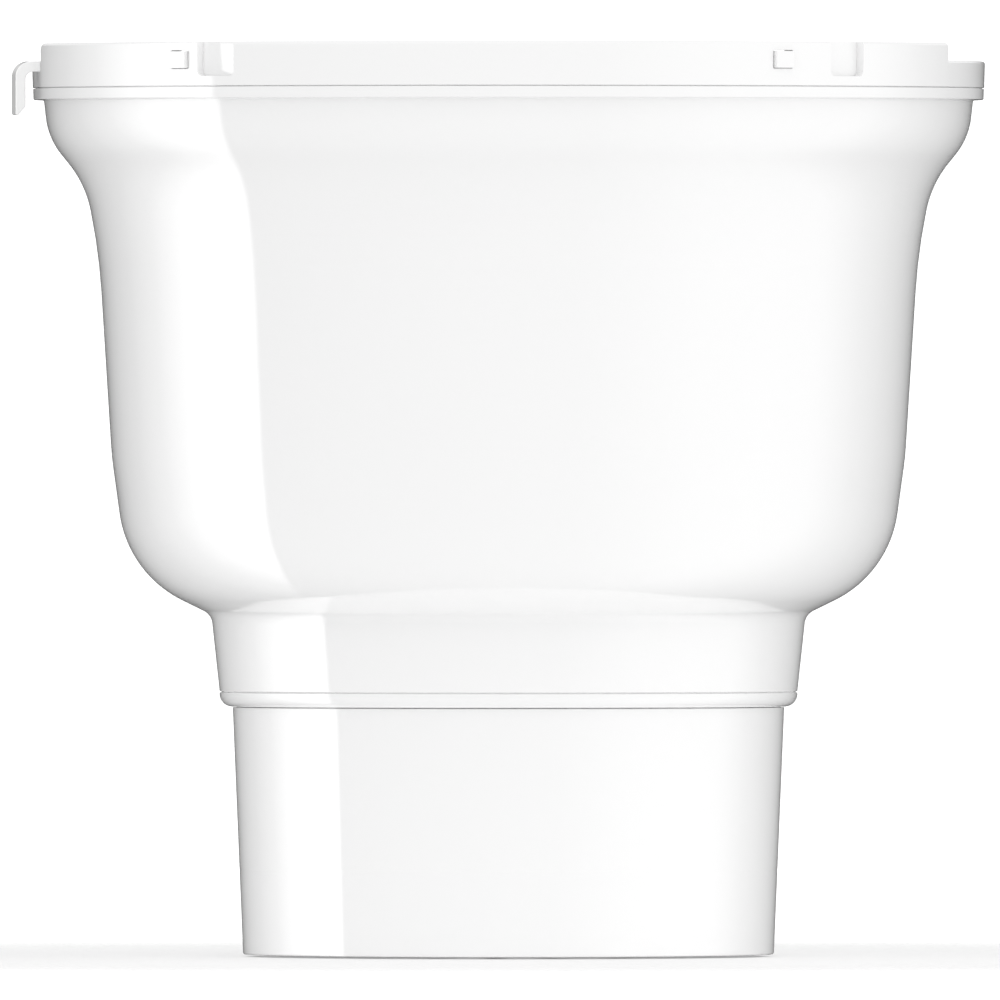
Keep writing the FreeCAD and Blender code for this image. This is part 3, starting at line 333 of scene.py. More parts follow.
def plate(name: str, loops: list[list[Point]], low: float, high: float, edge: float = 0.2,
          place: Matrix | None = None) -> bpy.types.Object:
    """Makes a flat plate with holes whose edges are all rounded.

    Args:
        name: The piece's name.
        loops: The outside, anticlockwise, then each hole, anticlockwise too.
        low: Height of the lower face, in millimetres.
        high: Height of the upper face.
        edge: Rounding of the edges.
        place: Where the plate's own axes go; None leaves them as they are.

    Returns:
        The piece.
    """
    work = bmesh.new()
    normals: list[Vector] = []
    steps = [(math.radians(a), low + edge, -1) for a in (90, 60, 30, 0)]
    steps += [(math.radians(a), high - edge, 1) for a in (0, 30, 60, 90)]
    rims: dict[int, list[bmesh.types.BMEdge]] = {0: [], len(steps) - 1: []}
    for index, loop in enumerate(loops):
        spots = np.array(loop if index == 0 else loop[::-1])
        along = np.roll(spots, -1, axis=0) - np.roll(spots, 1, axis=0)
        along /= np.linalg.norm(along, axis=1)[:, None]
        outward = np.stack([along[:, 1], -along[:, 0]], axis=1)
        rings = []
        for angle, level, side in steps:
            ring = []
            for spot, way in zip(spots, outward):
                flat = spot - way * edge * (1 - math.cos(angle))
                height = level + side * edge * math.sin(angle)
                ring.append(work.verts.new((flat[0] * MM, flat[1] * MM, height * MM)))
                normals.append(Vector((*(way * math.cos(angle)), side * math.sin(angle))))
            rings.append(ring)
        size = len(spots)
        for lower, upper in zip(rings, rings[1:]):
            for k in range(size):
                m = (k + 1) % size
                work.faces.new((lower[k], lower[m], upper[m], upper[k]))
        for end in rims:
            ring = rings[end]
            for k in range(size):
                rims[end].append(work.edges.get((ring[k], ring[(k + 1) % size])))
    for edges in rims.values():
        bmesh.ops.triangle_fill(work, use_beauty=True, edges=edges)
    bmesh.ops.recalc_face_normals(work, faces=work.faces)
    for face in work.faces:
        face.smooth = True
    mesh = bpy.data.meshes.new(name)
    work.to_mesh(mesh)
    work.free()
    if place is not None:
        mesh.transform(place)
        turn = place.to_3x3()
        normals = [turn @ n for n in normals]
    mesh.normals_split_custom_set_from_vertices([n.normalized() for n in normals])
    return new_piece(name, mesh)


def joined(name: str, pieces: list[bpy.types.Object]) -> bpy.types.Object:
    """Joins pieces into one and names it.

    Args:
        name: The joined piece's name.
        pieces: The pieces, the first of which takes in the rest.

    Returns:
        The joined piece.
    """
    with bpy.context.temp_override(active_object=pieces[0], selected_editable_objects=pieces):
        bpy.ops.object.join()
    pieces[0].name = name
    pieces[0].data.name = name
    return pieces[0]


def cut_away(piece: bpy.types.Object, cutter: bpy.types.Object) -> bpy.types.Object:
    """Cuts one piece's space out of another and removes the cutter.

    Args:
        piece: The piece that is cut.
        cutter: The piece whose space is taken out.

    Returns:
        The piece that is cut.
    """
    tool = piece.modifiers.new("cut", "BOOLEAN")
    tool.operation, tool.solver, tool.object = "DIFFERENCE", "EXACT", cutter
    bpy.context.view_layer.update()
    graph = bpy.context.evaluated_depsgraph_get()
    mesh = bpy.data.meshes.new_from_object(piece.evaluated_get(graph))
    piece.modifiers.clear()
    piece.data = mesh
    bpy.data.objects.remove(cutter)
    return even_shading(piece)


def facing(azimuth: float) -> Matrix:
    """Axes of an upright plane that faces outwards at an azimuth: sideways, up and outwards.

    Args:
        azimuth: Direction of the plane, in degrees from the front.

    Returns:
        Matrix from the plane's axes to the model's.
    """
    angle = math.radians(azimuth)
    out = Vector((math.sin(angle), -math.cos(angle), 0))
    side = Vector((math.cos(angle), math.sin(angle), 0))
    return Matrix((side, Vector((0, 0, 1)), out)).transposed().to_4x4()


def standing(azimuth: float) -> Matrix:
    """Axes of an upright plane through the axis at an azimuth: outwards, up and sideways.

    Args:
        azimuth: Direction of the plane, in degrees from the front.

    Returns:
        Matrix from the plane's axes to the model's.
    """
    angle = math.radians(azimuth)
    out = Vector((math.sin(angle), -math.cos(angle), 0))
    up = Vector((0, 0, 1))
    return Matrix((out, up, out.cross(up))).transposed().to_4x4()


# ---------------------------------------------------------------- finishes


class Wiring:
    """Adds nodes to a tree and joins them."""

    def __init__(self, tree: bpy.types.NodeTree) -> None:
        """Starts on a tree."""
        self.tree = tree

    def node(self, kind: str, **values: object) -> bpy.types.Node:
        """Adds a node and sets its properties.

        Args:
            kind: Type of the node.
            **values: Properties by name.

        Returns:
            The node.
        """
        made = self.tree.nodes.new(kind)
        for key, value in values.items():
            setattr(made, key, value)
        return made

    def link(self, source: bpy.types.NodeSocket, target: bpy.types.NodeSocket) -> None:
        """Joins two sockets."""
        self.tree.links.new(source, target)

    def reckon(self, operation: str, *values: float | bpy.types.NodeSocket) -> bpy.types.NodeSocket:
        """Does one step of arithmetic.

        Args:
            operation: Name of the step.
            *values: What it works on, each a number or a socket.

        Returns:
            The result's socket.
        """
        made = self.node("ShaderNodeMath", operation=operation)
        for socket, value in zip(made.inputs, values):
            if isinstance(value, bpy.types.NodeSocket):
                self.link(value, socket)
            else:
                socket.default_value = value
        return made.outputs["Value"]

    def limited(self, value: bpy.types.NodeSocket) -> bpy.types.NodeSocket:
        """Keeps a value between 0 and 1."""
        return self.reckon("MINIMUM", self.reckon("MAXIMUM", value, 0.0), 1.0)

    def levels(self, value: bpy.types.NodeSocket, stops: list[tuple[float, float]]) -> bpy.types.NodeSocket:
        """Turns a value from 0 to 1 into brightness by stops.

        Args:
            value: Socket of the value.
            stops: (place, level) of each stop.

        Returns:
            The brightness's socket.
        """
        ramp = self.node("ShaderNodeValToRGB")
        elements = ramp.color_ramp.elements
        while len(elements) < len(stops):
            elements.new(0.5)
        for element, (place, level) in zip(elements, stops):
            element.position = place
            element.color = (level, level, level, 1)
        self.link(value, ramp.inputs["Fac"])
        return ramp.outputs["Color"]

    def choice(self, switch: bpy.types.NodeSocket, off: bpy.types.NodeSocket,
               on: bpy.types.NodeSocket) -> bpy.types.NodeSocket:
        """Passes one of two values on, as a switch says.

        Args:
            switch: Socket of the switch, 0 or 1.
            off: Value for 0.
            on: Value for 1.

        Returns:
            The chosen value's socket.
        """
        mix = self.node("ShaderNodeMix")
        self.link(switch, mix.inputs["Factor"])
        self.link(off, mix.inputs["A"])
        self.link(on, mix.inputs["B"])
        return mix.outputs["Result"]


class Recipe(Wiring):
    """A node material under construction."""

    def __init__(self, name: str) -> None:
        """Starts a material with one principled shader.

        Args:
            name: The material's name.
        """
        self.material = bpy.data.materials.new(name)
        self.material.use_nodes = True
        super().__init__(self.material.node_tree)
        self.shader = next(n for n in self.tree.nodes if n.type == "BSDF_PRINCIPLED")

    def place(self, stretch: Triple = (1.0, 1.0, 1.0)) -> bpy.types.NodeSocket:
        """Object coordinates, stretched.

        Args:
            stretch: Factor along each axis.

        Returns:
            The coordinates' socket.
        """
        mapping = self.node("ShaderNodeMapping")
        mapping.inputs["Scale"].default_value = stretch
        self.link(self.node("ShaderNodeTexCoord").outputs["Object"], mapping.inputs["Vector"])
        return mapping.outputs["Vector"]

    def noise(self, where: bpy.types.NodeSocket, scale: float, detail: float = 3.0) -> bpy.types.NodeSocket:
        """Noise with a given number of features to the metre.

        Args:
            where: Coordinates' socket.
            scale: Features to the metre.
            detail: Octaves of finer noise.

        Returns:
            The noise's socket.
        """
        made = self.node("ShaderNodeTexNoise")
        made.inputs["Scale"].default_value = scale
        made.inputs["Detail"].default_value = detail
        self.link(where, made.inputs["Vector"])
        return made.outputs["Fac"]

    def ramp(self, value: bpy.types.NodeSocket, low: Colour, high: Colour,
             start: float = NOISE_RANGE[0], end: float = NOISE_RANGE[1]) -> bpy.types.NodeSocket:
        """Colours between two ends as a value goes from start to end.

        Args:
            value: Socket of the value.
            low: Colour at the start and below.
            high: Colour at the end and above.
            start: Value where the change starts.
            end: Value where it ends.

        Returns:
            The colour's socket.
        """
        made = self.node("ShaderNodeValToRGB")
        first, last = made.color_ramp.elements
        first.position, first.color = start, (*low, 1)
        last.position, last.color = end, (*high, 1)
        self.link(value, made.inputs["Fac"])
        return made.outputs["Color"]

    def spread(self, value: bpy.types.NodeSocket, low: float, high: float) -> bpy.types.NodeSocket:
        """Maps a value onto a range.

        Args:
            value: Socket of a noise or a wave.
            low: Result for its low parts.
            high: Result for its high parts.

        Returns:
            The result's socket.
        """
        made = self.node("ShaderNodeMapRange")
        made.inputs["From Min"].default_value, made.inputs["From Max"].default_value = NOISE_RANGE
        made.inputs["To Min"].default_value = low
        made.inputs["To Max"].default_value = high
        self.link(value, made.inputs["Value"])
        return made.outputs["Result"]

    def relief(self, value: bpy.types.NodeSocket, depth: float) -> None:
        """Raises the surface where a value is high.

        Args:
            value: Socket of the value.
            depth: How far the surface rises, in millimetres.
        """
        made = self.node("ShaderNodeBump")
        made.inputs["Strength"].default_value = 1.0
        made.inputs["Distance"].default_value = depth * MM
        self.link(value, made.inputs["Height"])
        self.link(made.outputs["Normal"], self.shader.inputs["Normal"])

    def set(self, **values: float) -> None:
        """Sets the shader's own sockets, an underscore standing for a space."""
        for key, value in values.items():
            self.shader.inputs[key.replace("_", " ")].default_value = value


@dataclass(frozen=True)
class MouldedPlastic:
    """Moulded plastic: its colour drifts a little, and its skin has a fine grain."""

    name: str
    colour: Colour
    drift: float = 0.02
    cloud: float = 35.0
    roughness: float = 0.3
    wander: float = 0.04
    wear: float = 160.0
    ior: float = 1.5
    grain: float = 1500.0
    grain_depth: float = 0.004

    def material(self) -> bpy.types.Material:
        """Builds the material.

        Returns:
            The material.
        """
        recipe = Recipe(self.name)
        where = recipe.place()
        cloud = recipe.noise(where, self.cloud)
        low = tuple(c * (1 - self.drift) for c in self.colour)
        recipe.link(recipe.ramp(cloud, low, self.colour), recipe.shader.inputs["Base Color"])
        wear = recipe.noise(where, self.wear, 5.0)
        rough = recipe.spread(wear, self.roughness, self.roughness + self.wander)
        recipe.link(rough, recipe.shader.inputs["Roughness"])
        recipe.relief(recipe.noise(where, self.grain, 2.0), self.grain_depth)
        recipe.set(IOR=self.ior)
        return recipe.material


@dataclass(frozen=True)
class WorkedMetal:
    """Metal with fine lines left by working, stretched along one axis."""

    name: str
    colour: Colour
    roughness: float = 0.25
    lines: float = 900.0
    stretch: Triple = (1.0, 1.0, 0.05)
    line_depth: float = 0.003
    stain: float = 70.0
    stain_shade: float = 0.86

    def material(self) -> bpy.types.Material:
        """Builds the material.

        Returns:
            The material.
        """
        recipe = Recipe(self.name)
        streak = recipe.noise(recipe.place(self.stretch), self.lines, 4.0)
        stain = recipe.noise(recipe.place(), self.stain)
        dull = tuple(c * self.stain_shade for c in self.colour)
        recipe.link(recipe.ramp(stain, dull, self.colour), recipe.shader.inputs["Base Color"])
        rough = recipe.spread(streak, self.roughness * 0.75, self.roughness * 1.35)
        recipe.link(rough, recipe.shader.inputs["Roughness"])
        recipe.relief(streak, self.line_depth)
        recipe.set(Metallic=1.0)
        return recipe.material


@dataclass(frozen=True)
class TurnedMetal:
    """Metal face with fine circles left by a lathe round an upright axis."""

    name: str
    colour: Colour
    centre: Point = (0.0, 0.0)
    pitch: float = 0.5
    roughness: float = 0.3
    ring_depth: float = 0.0012
    stain: float = 90.0
    stain_shade: float = 0.9

    def material(self) -> bpy.types.Material:
        """Builds the material.

        Returns:
            The material.
        """
        recipe = Recipe(self.name)
        mapping = recipe.node("ShaderNodeMapping")
        mapping.inputs["Location"].default_value = (-self.centre[0] * MM, -self.centre[1] * MM, 0)
        recipe.link(recipe.node("ShaderNodeTexCoord").outputs["Object"], mapping.inputs["Vector"])
        wave = recipe.node("ShaderNodeTexWave", wave_type="RINGS", rings_direction="Z")
        wave.inputs["Scale"].default_value = 1.0 / (self.pitch * MM) / 20.0 * math.pi
        wave.inputs["Distortion"].default_value = 0.4
        recipe.link(mapping.outputs["Vector"], wave.inputs["Vector"])
        stain = recipe.noise(mapping.outputs["Vector"], self.stain)
        dull = tuple(c * self.stain_shade for c in self.colour)
        recipe.link(recipe.ramp(stain, dull, self.colour), recipe.shader.inputs["Base Color"])
        rough = recipe.spread(wave.outputs["Fac"], self.roughness * 0.8, self.roughness * 1.3)
        recipe.link(rough, recipe.shader.inputs["Roughness"])
        recipe.relief(wave.outputs["Fac"], self.ring_depth)
        recipe.set(Metallic=1.0)
        return recipe.material


@dataclass(frozen=True)
class PrintedBoard:
    """Circuit board: lacquer over copper tracks."""

    name: str
    lacquer: Colour = (0.015, 0.16, 0.05)
    track: Colour = (0.04, 0.3, 0.1)
    tracks: float = 160.0
    track_width: float = 0.035
    track_depth: float = 0.03

    def material(self) -> bpy.types.Material:
        """Builds the material.

        Returns:
            The material.
        """
        recipe = Recipe(self.name)
        tracks = recipe.node("ShaderNodeTexBrick", offset=0.35)
        tracks.inputs["Scale"].default_value = self.tracks
        tracks.inputs["Mortar Size"].default_value = self.track_width
        tracks.inputs["Color1"].default_value = (*self.lacquer, 1)
        tracks.inputs["Color2"].default_value = (*(c * 0.8 for c in self.lacquer), 1)
        tracks.inputs["Mortar"].default_value = (*self.track, 1)
        recipe.link(recipe.place(), tracks.inputs["Vector"])
        recipe.link(tracks.outputs["Color"], recipe.shader.inputs["Base Color"])
        recipe.relief(tracks.outputs["Fac"], self.track_depth)
        recipe.set(Roughness=0.35)
        return recipe.material


@dataclass(frozen=True)
class WoundWire:
    """Enamelled wire laid side by side, with shade painted darker into the grooves between the turns."""

    name: str
    colour: Colour
    pitch: float = 0.5
    wire_depth: float = 0.12

    def material(self) -> bpy.types.Material:
        """Builds the material.

        Returns:
            The material.
        """
        recipe = Recipe(self.name)
        wave = recipe.node("ShaderNodeTexWave", bands_direction="Z")
        wave.inputs["Scale"].default_value = math.pi / (self.pitch * MM) / 10.0
        wave.inputs["Distortion"].default_value = 0.6
        recipe.link(recipe.place(), wave.inputs["Vector"])
        # painted shade: the colour falls to under half its value in the grooves between the turns
        dark = tuple(c * 0.45 for c in self.colour)
        recipe.link(recipe.ramp(wave.outputs["Fac"], dark, self.colour, 0.1, 0.6),
                    recipe.shader.inputs["Base Color"])
        recipe.relief(wave.outputs["Fac"], self.wire_depth)
        recipe.set(Metallic=1.0, Roughness=0.28)
        return recipe.material


GLOSS_WHITE = MouldedPlastic("shell_white_gloss", (0.93, 0.93, 0.93), drift=0.004, roughness=0.05,
                             wander=0.012, ior=1.6, grain=900.0, grain_depth=0.0002)
FINISHES = {
    "shell_white": GLOSS_WHITE,
    "grille_white": MouldedPlastic("grille_satin", (0.86, 0.86, 0.86), roughness=0.32),
    "draft_plastic": MouldedPlastic("flow_part_grey", (0.62, 0.64, 0.66), roughness=0.38),
    "dial_metal": TurnedMetal("dial_turned", (0.82, 0.83, 0.84), centre=(0.0, 8.0)),
    "button_white": MouldedPlastic("button_satin", (0.88, 0.88, 0.88), roughness=0.28),
    "window_glass": MouldedPlastic("window_black_glass", (0.008, 0.009, 0.011), roughness=0.03,
                                   wander=0.01, grain_depth=0.0001),
    "lens_clear": MouldedPlastic("lamp_lens", (0.30, 0.42, 0.52), roughness=0.18),
    "display_grey": MouldedPlastic("display_body", (0.09, 0.095, 0.1), roughness=0.45),
    "rubber_black": MouldedPlastic("rubber_black_skin", (0.018, 0.018, 0.019), roughness=0.62,
                                   wander=0.12, grain=2600.0, grain_depth=0.02),
    "stainless": WorkedMetal("stainless_tube", (0.72, 0.72, 0.71), roughness=0.2),
    "plated_steel": WorkedMetal("zinc_plated_steel", (0.66, 0.68, 0.69), roughness=0.3,
                                lines=400.0, stretch=(1.0, 1.0, 1.0)),
    "board_green": PrintedBoard("board_lacquer"),
    "black_plastic": MouldedPlastic("black_moulding", (0.022, 0.022, 0.024), roughness=0.4,
                                    grain_depth=0.012),
    "connector_cream": MouldedPlastic("connector_shell", (0.78, 0.73, 0.6), roughness=0.42),
    "cable_grey": MouldedPlastic("ribbon_sleeve", (0.42, 0.43, 0.45), roughness=0.5),
    "cable_brown": MouldedPlastic("lead_sleeve", (0.17, 0.08, 0.035), roughness=0.46),
    "core_steel": WorkedMetal("lamination_stack", (0.36, 0.36, 0.37), roughness=0.4, lines=2200.0,
                              stretch=(0.04, 0.04, 1.0), line_depth=0.02),
    "winding_copper": WoundWire("winding_enamel", (0.72, 0.29, 0.1)),
    "transformer_yellow": MouldedPlastic("winding_tape", (0.82, 0.62, 0.1), roughness=0.35),
    "capacitor_sleeve": MouldedPlastic("capacitor_film", (0.03, 0.045, 0.1), roughness=0.3),
    "pin_brass": WorkedMetal("pin_nickel_brass", (0.78, 0.66, 0.42), roughness=0.22),
    "bush_bronze": WorkedMetal("bush_sintered_bronze", (0.55, 0.36, 0.2), roughness=0.42,
                               lines=1500.0, stretch=(1.0, 1.0, 1.0), line_depth=0.01),
}


class Wardrobe:
    """Builds each finish once and dresses pieces with it."""

    def __init__(self) -> None:
        """Builds every finish."""
        self.made = {slot: finish.material() for slot, finish in FINISHES.items()}

    def dress(self, piece: bpy.types.Object, slot: Slot, body: Body,
              *nodes: str) -> bpy.types.Object:
        """Gives a new piece its finish, its body and the nodes that it stands for.

        Args:
            piece: The piece.
            slot: Material slot that it takes its finish from.
            body: Body that it rides on.
            nodes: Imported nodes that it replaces.

        Returns:
            The same piece.
        """
        piece.data.materials.clear()
        piece.data.materials.append(self.made[slot.value])
        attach(piece, body.value)
        if nodes:
            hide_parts(*nodes)
        LOG.info("%s rides on %s", piece.name, body.value)
        return piece

    def dress_packed_nodes(self) -> None:
        """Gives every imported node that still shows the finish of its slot."""
        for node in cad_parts.values():
            for holder in node.material_slots:
                name = holder.material.name.split(".")[0]
                holder.material = self.made[name]


# -------------------------------------------------------------- assemblies


def top_of(node: str) -> float:
    """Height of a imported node's top, in millimetres."""
    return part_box(node)[1].z / MM


def bottom_of(node: str) -> float:
    """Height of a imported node's lowest point, in millimetres."""
    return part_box(node)[0].z / MM


@dataclass
class BellHousing:
    """Flange, bowl, neck and bead in one moulding, open at both ends, with the inlet's opening."""

    wall: float = 2.2
    flange: float = 66.55
    flange_low: float = 66.5
    flange_foot: float = 119.6
    bore: float = 38.2
    ledge: float = 32.5
    ledge_foot: float = 43.5
    ledge_top: float = 48.5
    seat: float = 38.4
    seat_top: float = 51.5
    seam_root: float = 66.22
    seam_gap: float = 0.06
    inner_foot: float = 1.5
    opening: Point = (31.3, 23.3)
    opening_corner: float = 2.6
    opening_reach: float = 8.0
    bowl: list[Corner] = field(default_factory=lambda: [
        (65.05, 119.6, 0.35), (64.45, 114.25, 10.0), (59.25, 107.8, 15.0), (57.35, 98.35, 84.0),
        (55.55, 69.7, 40.0), (53.3, 53.3, 16.0), (41.6, 47.55, 2.2), (40.45, 36.88, 0.04),
        (40.15, 36.77, 0.0), (40.15, 36.73, 0.0), (40.45, 36.62, 0.04), (40.45, 34.7, 1.79)])

    def build(self, wardrobe: Wardrobe) -> bpy.types.Object:
        """Builds the housing and cuts the inlet's opening in its rear.

        Args:
            wardrobe: Finishes to dress it with.

        Returns:
            The piece.
        """
        bottom, top = bottom_of("bell_housing"), top_of("bell_housing")
        outer = rounded([(self.seam_root, top, 0.0), (self.seam_root, top - self.seam_gap, 0.0),
                         (self.flange, top - self.seam_gap, 0.1),
                         (self.flange_low, self.flange_foot, 0.18),
                         *self.bowl, (self.bore, bottom, 0.0)], closed=False, turn=3.0)
        skin = rounded([(self.bowl[0][0], top, 0.0), *self.bowl[1:7]], closed=False, turn=4.0)
        inner = [p for p in moved_in(skin, self.wall) if p[1] > self.seat_top + self.inner_foot]
        section = outer + [(self.bore, self.ledge_foot), (self.ledge, self.ledge_foot),
                           (self.ledge, self.ledge_top), (self.seat, self.ledge_top),
                           (self.seat, self.seat_top)]
        section += [(r, min(z, top)) for r, z in reversed(inner)]
        housing = turned("bell_housing_shell", section, segments=276)
        low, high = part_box("power_inlet")
        height, rear = (low.z + high.z) / 2 / MM, high.y / MM
        place = Matrix(((-1, 0, 0, 0), (0, 0, 1, 0), (0, 1, 0, height * MM), (0, 0, 0, 1)))
        outline = rounded_rectangle(self.opening, self.opening_corner)
        cutter = plate("inlet_cutter", [outline], rear - self.opening_reach, rear + self.opening_reach,
                       0.1, place)
        return wardrobe.dress(cut_away(housing, cutter), Slot.SHELL, Body.MAIN, "bell_housing")


@dataclass
class ControlRing:
    """Upper ring with its raised arc lip, its two notches and the windows of the deck's tabs."""

    foot: float = 66.6
    brow: float = 66.7
    bore: float = 64.2
    lip_inner: float = 64.6
    shelf: float = 53.85
    spigot: tuple[float, float] = (60.6, 62.2)
    shelf_thickness: float = 2.5
    pane: float = 1.2
    deck: float = 2.0
    rounding: float = 0.4
    step: float = 1.25
    lip_span: tuple[float, float] = (-74.4, 71.1)
    lip_ends: tuple[float, float] = (0.9, 0.45)
    notches: tuple[float, float] = (-33.5, 49.2)
    notch_half: float = 3.2
    notch_drop: float = 4.8
    notch_inset: float = 1.4
    notch_corner: float = 0.8
    windows: tuple[float, float] = (-39.1, 39.1)
    window: Point = (3.4, 2.56)
    window_height: float = 124.9
    seam_root: float = 66.22
    seam_gap: float = 0.08
    edge: float = 0.05
    slope_height: float = 3.5
    lip_height: float = 2.45
    levels: int = 6

    def azimuths(self) -> np.ndarray:
        """Azimuths of the sections, closer together where the ring changes.

        Returns:
            The azimuths, in degrees from the front.
        """
        marks = list(np.arange(-180.0, 180.0, self.step))
        for end in self.lip_span:
            marks += list(end + np.linspace(-0.9, 0.9, 61))
        return np.array(sorted(set(round(m, 4) for m in marks)))

    def lip_share(self, azimuth: float) -> float:
        """How much of the lip's height stands at an azimuth, its ends rounded.

        Args:
            azimuth: Direction from the front, in degrees.

        Returns:
            Share of the height, from 0 to 1.
        """
        from_start = math.radians(azimuth - self.lip_span[0]) * self.brow
        to_end = math.radians(self.lip_span[1] - azimuth) * self.brow
        inside = min(from_start, to_end)
        if inside <= 0:
            return 0.0
        radius = self.lip_ends[0] if from_start < to_end else self.lip_ends[1]
        if inside >= radius:
            return 1.0
        drop = radius - math.sqrt(max(radius**2 - (radius - inside) ** 2, 0.0))
        return 1.0 - drop / self.lip_height

    def build(self, wardrobe: Wardrobe) -> bpy.types.Object:
        """Builds the ring from sections round the axis.

        Args:
            wardrobe: Finishes to dress it with.

        Returns:
            The piece.
        """
        seam, lip_top = top_of("bell_housing"), top_of("control_ring")
        ear_top = lip_top - self.lip_height
        inside = self.inside(seam, ear_top)
        columns = []
        for azimuth in self.azimuths():
            top = ear_top + self.lip_height * self.lip_share(azimuth)
            section = self.outside(seam, top, ear_top) + inside
            angle = math.radians(azimuth)
            columns.append([(r * math.sin(angle), -r * math.cos(angle), z) for r, z in section])
        ring = lofted("control_ring_shell", np.array(columns))
        ring = cut_away(ring, self.openings(lip_top))
        return wardrobe.dress(ring, Slot.SHELL, Body.MAIN, "control_ring")

    def outside(self, seam: float, top: float, ear_top: float) -> list[Point]:
        """Section from the seam up the outer wall and over the lip.

        Args:
            seam: Height of the seam, in millimetres.
            top: Height of the ring's top here.
            ear_top: Height of its top beside the lip.

        Returns:
            Points of (radius, height).
        """
        foot = seam + self.seam_gap + self.edge
        arc = [math.radians(15 * k) for k in range(7)]
        section = [(self.seam_root, seam), (self.seam_root, seam + self.seam_gap),
                   (self.foot - self.edge, seam + self.seam_gap), (self.foot, foot)]
        for k in range(1, self.levels + 1):
            z = foot + (top - self.rounding - foot) * k / self.levels
            slope = min((z - foot) / self.slope_height, 1.0)
            section.append((self.foot + (self.brow - self.foot) * slope, z))
        section += [(self.brow - self.rounding * (1 - math.cos(a)), top - self.rounding * (1 - math.sin(a)))
                    for a in arc[1:]]
        section.append((self.lip_inner + self.rounding + 0.15, top))
        section += [(self.lip_inner + self.rounding * (1 - math.sin(a)),
                     max(top - self.rounding * (1 - math.cos(a)), ear_top)) for a in arc]
        return section

    def inside(self, seam: float, ear_top: float) -> list[Point]:
        """Section from the lip's root down the bore, round the shelf and the spigot to the seam.

        Args:
            seam: Height of the seam, in millimetres.
            ear_top: Height of the ring's top beside the lip.

        Returns:
            Points of (radius, height).
        """
        spigot_foot = bottom_of("control_ring")
        shelf_top = bottom_of("display_window") + self.pane - self.deck
        shelf_foot = shelf_top - self.shelf_thickness
        return [(self.lip_inner, ear_top), (self.bore + 0.2, ear_top), (self.bore + 0.06, ear_top - 0.06),
                (self.bore, ear_top - 0.2), (self.bore, shelf_top), (self.shelf, shelf_top),
                (self.shelf, shelf_foot), (self.spigot[0], shelf_foot), (self.spigot[0], spigot_foot),
                (self.spigot[1], spigot_foot), (self.spigot[1], seam)]

    def openings(self, lip_top: float) -> bpy.types.Object:
        """The spaces that the notches and the tab windows leave in the ring.

        Args:
            lip_top: Height of the lip's top, in millimetres.

        Returns:
            One piece that fills them all.
        """
        beyond, past = self.brow + 3.0, 4.0
        size = (2 * self.notch_half, self.notch_drop + past)
        notch = rounded_rectangle(size, self.notch_corner, (0.0, lip_top + (past - self.notch_drop) / 2))
        window = rounded_rectangle(self.window, 0.2, (0.0, self.window_height))
        tools = [plate("notch_tool", [notch], self.brow - self.notch_inset, beyond, 0.02, facing(azimuth))
                 for azimuth in self.notches]
        tools += [plate("window_tool", [window], self.bore - 1.0, beyond, 0.02, facing(azimuth))
                  for azimuth in self.windows]
        return joined("ring_openings", tools)


@dataclass
class PotHook:
    """J-shaped hook on the ring's left ear, its leg bevelled at the tip."""

    azimuth: float = -76.5
    width: float = 4.0
    thickness: float = 1.45
    root: float = 66.3
    leg_inner: float = 68.65
    length: float = 7.5
    bend: float = 2.2
    inner_bend: float = 1.1
    chamfer: float = 1.2
    sunk: float = 0.02
    edge: float = 0.3

    def build(self, wardrobe: Wardrobe) -> bpy.types.Object:
        """Builds the hook from its side outline.

        Args:
            wardrobe: Finishes to dress it with.

        Returns:
            The piece.
        """
        top = top_of("pot_hook") - self.sunk
        tip = top - self.length
        outer = self.leg_inner + self.thickness
        outline = rounded([
            (self.root, top - self.thickness, 0.0), (self.leg_inner, top - self.thickness, self.inner_bend),
            (self.leg_inner, tip + self.chamfer, 0.5), (self.leg_inner + self.chamfer - 0.2, tip, 0.3),
            (outer, tip, 0.3), (outer, top, self.bend), (self.root, top, 0.0)], turn=8.0)
        hook = plate("pot_hook_bar", [anticlockwise(outline)], -self.width / 2, self.width / 2, self.edge,
                     standing(self.azimuth))
        hook.visible_glossy = False
        return wardrobe.dress(hook, Slot.SHELL, Body.MAIN, "pot_hook")


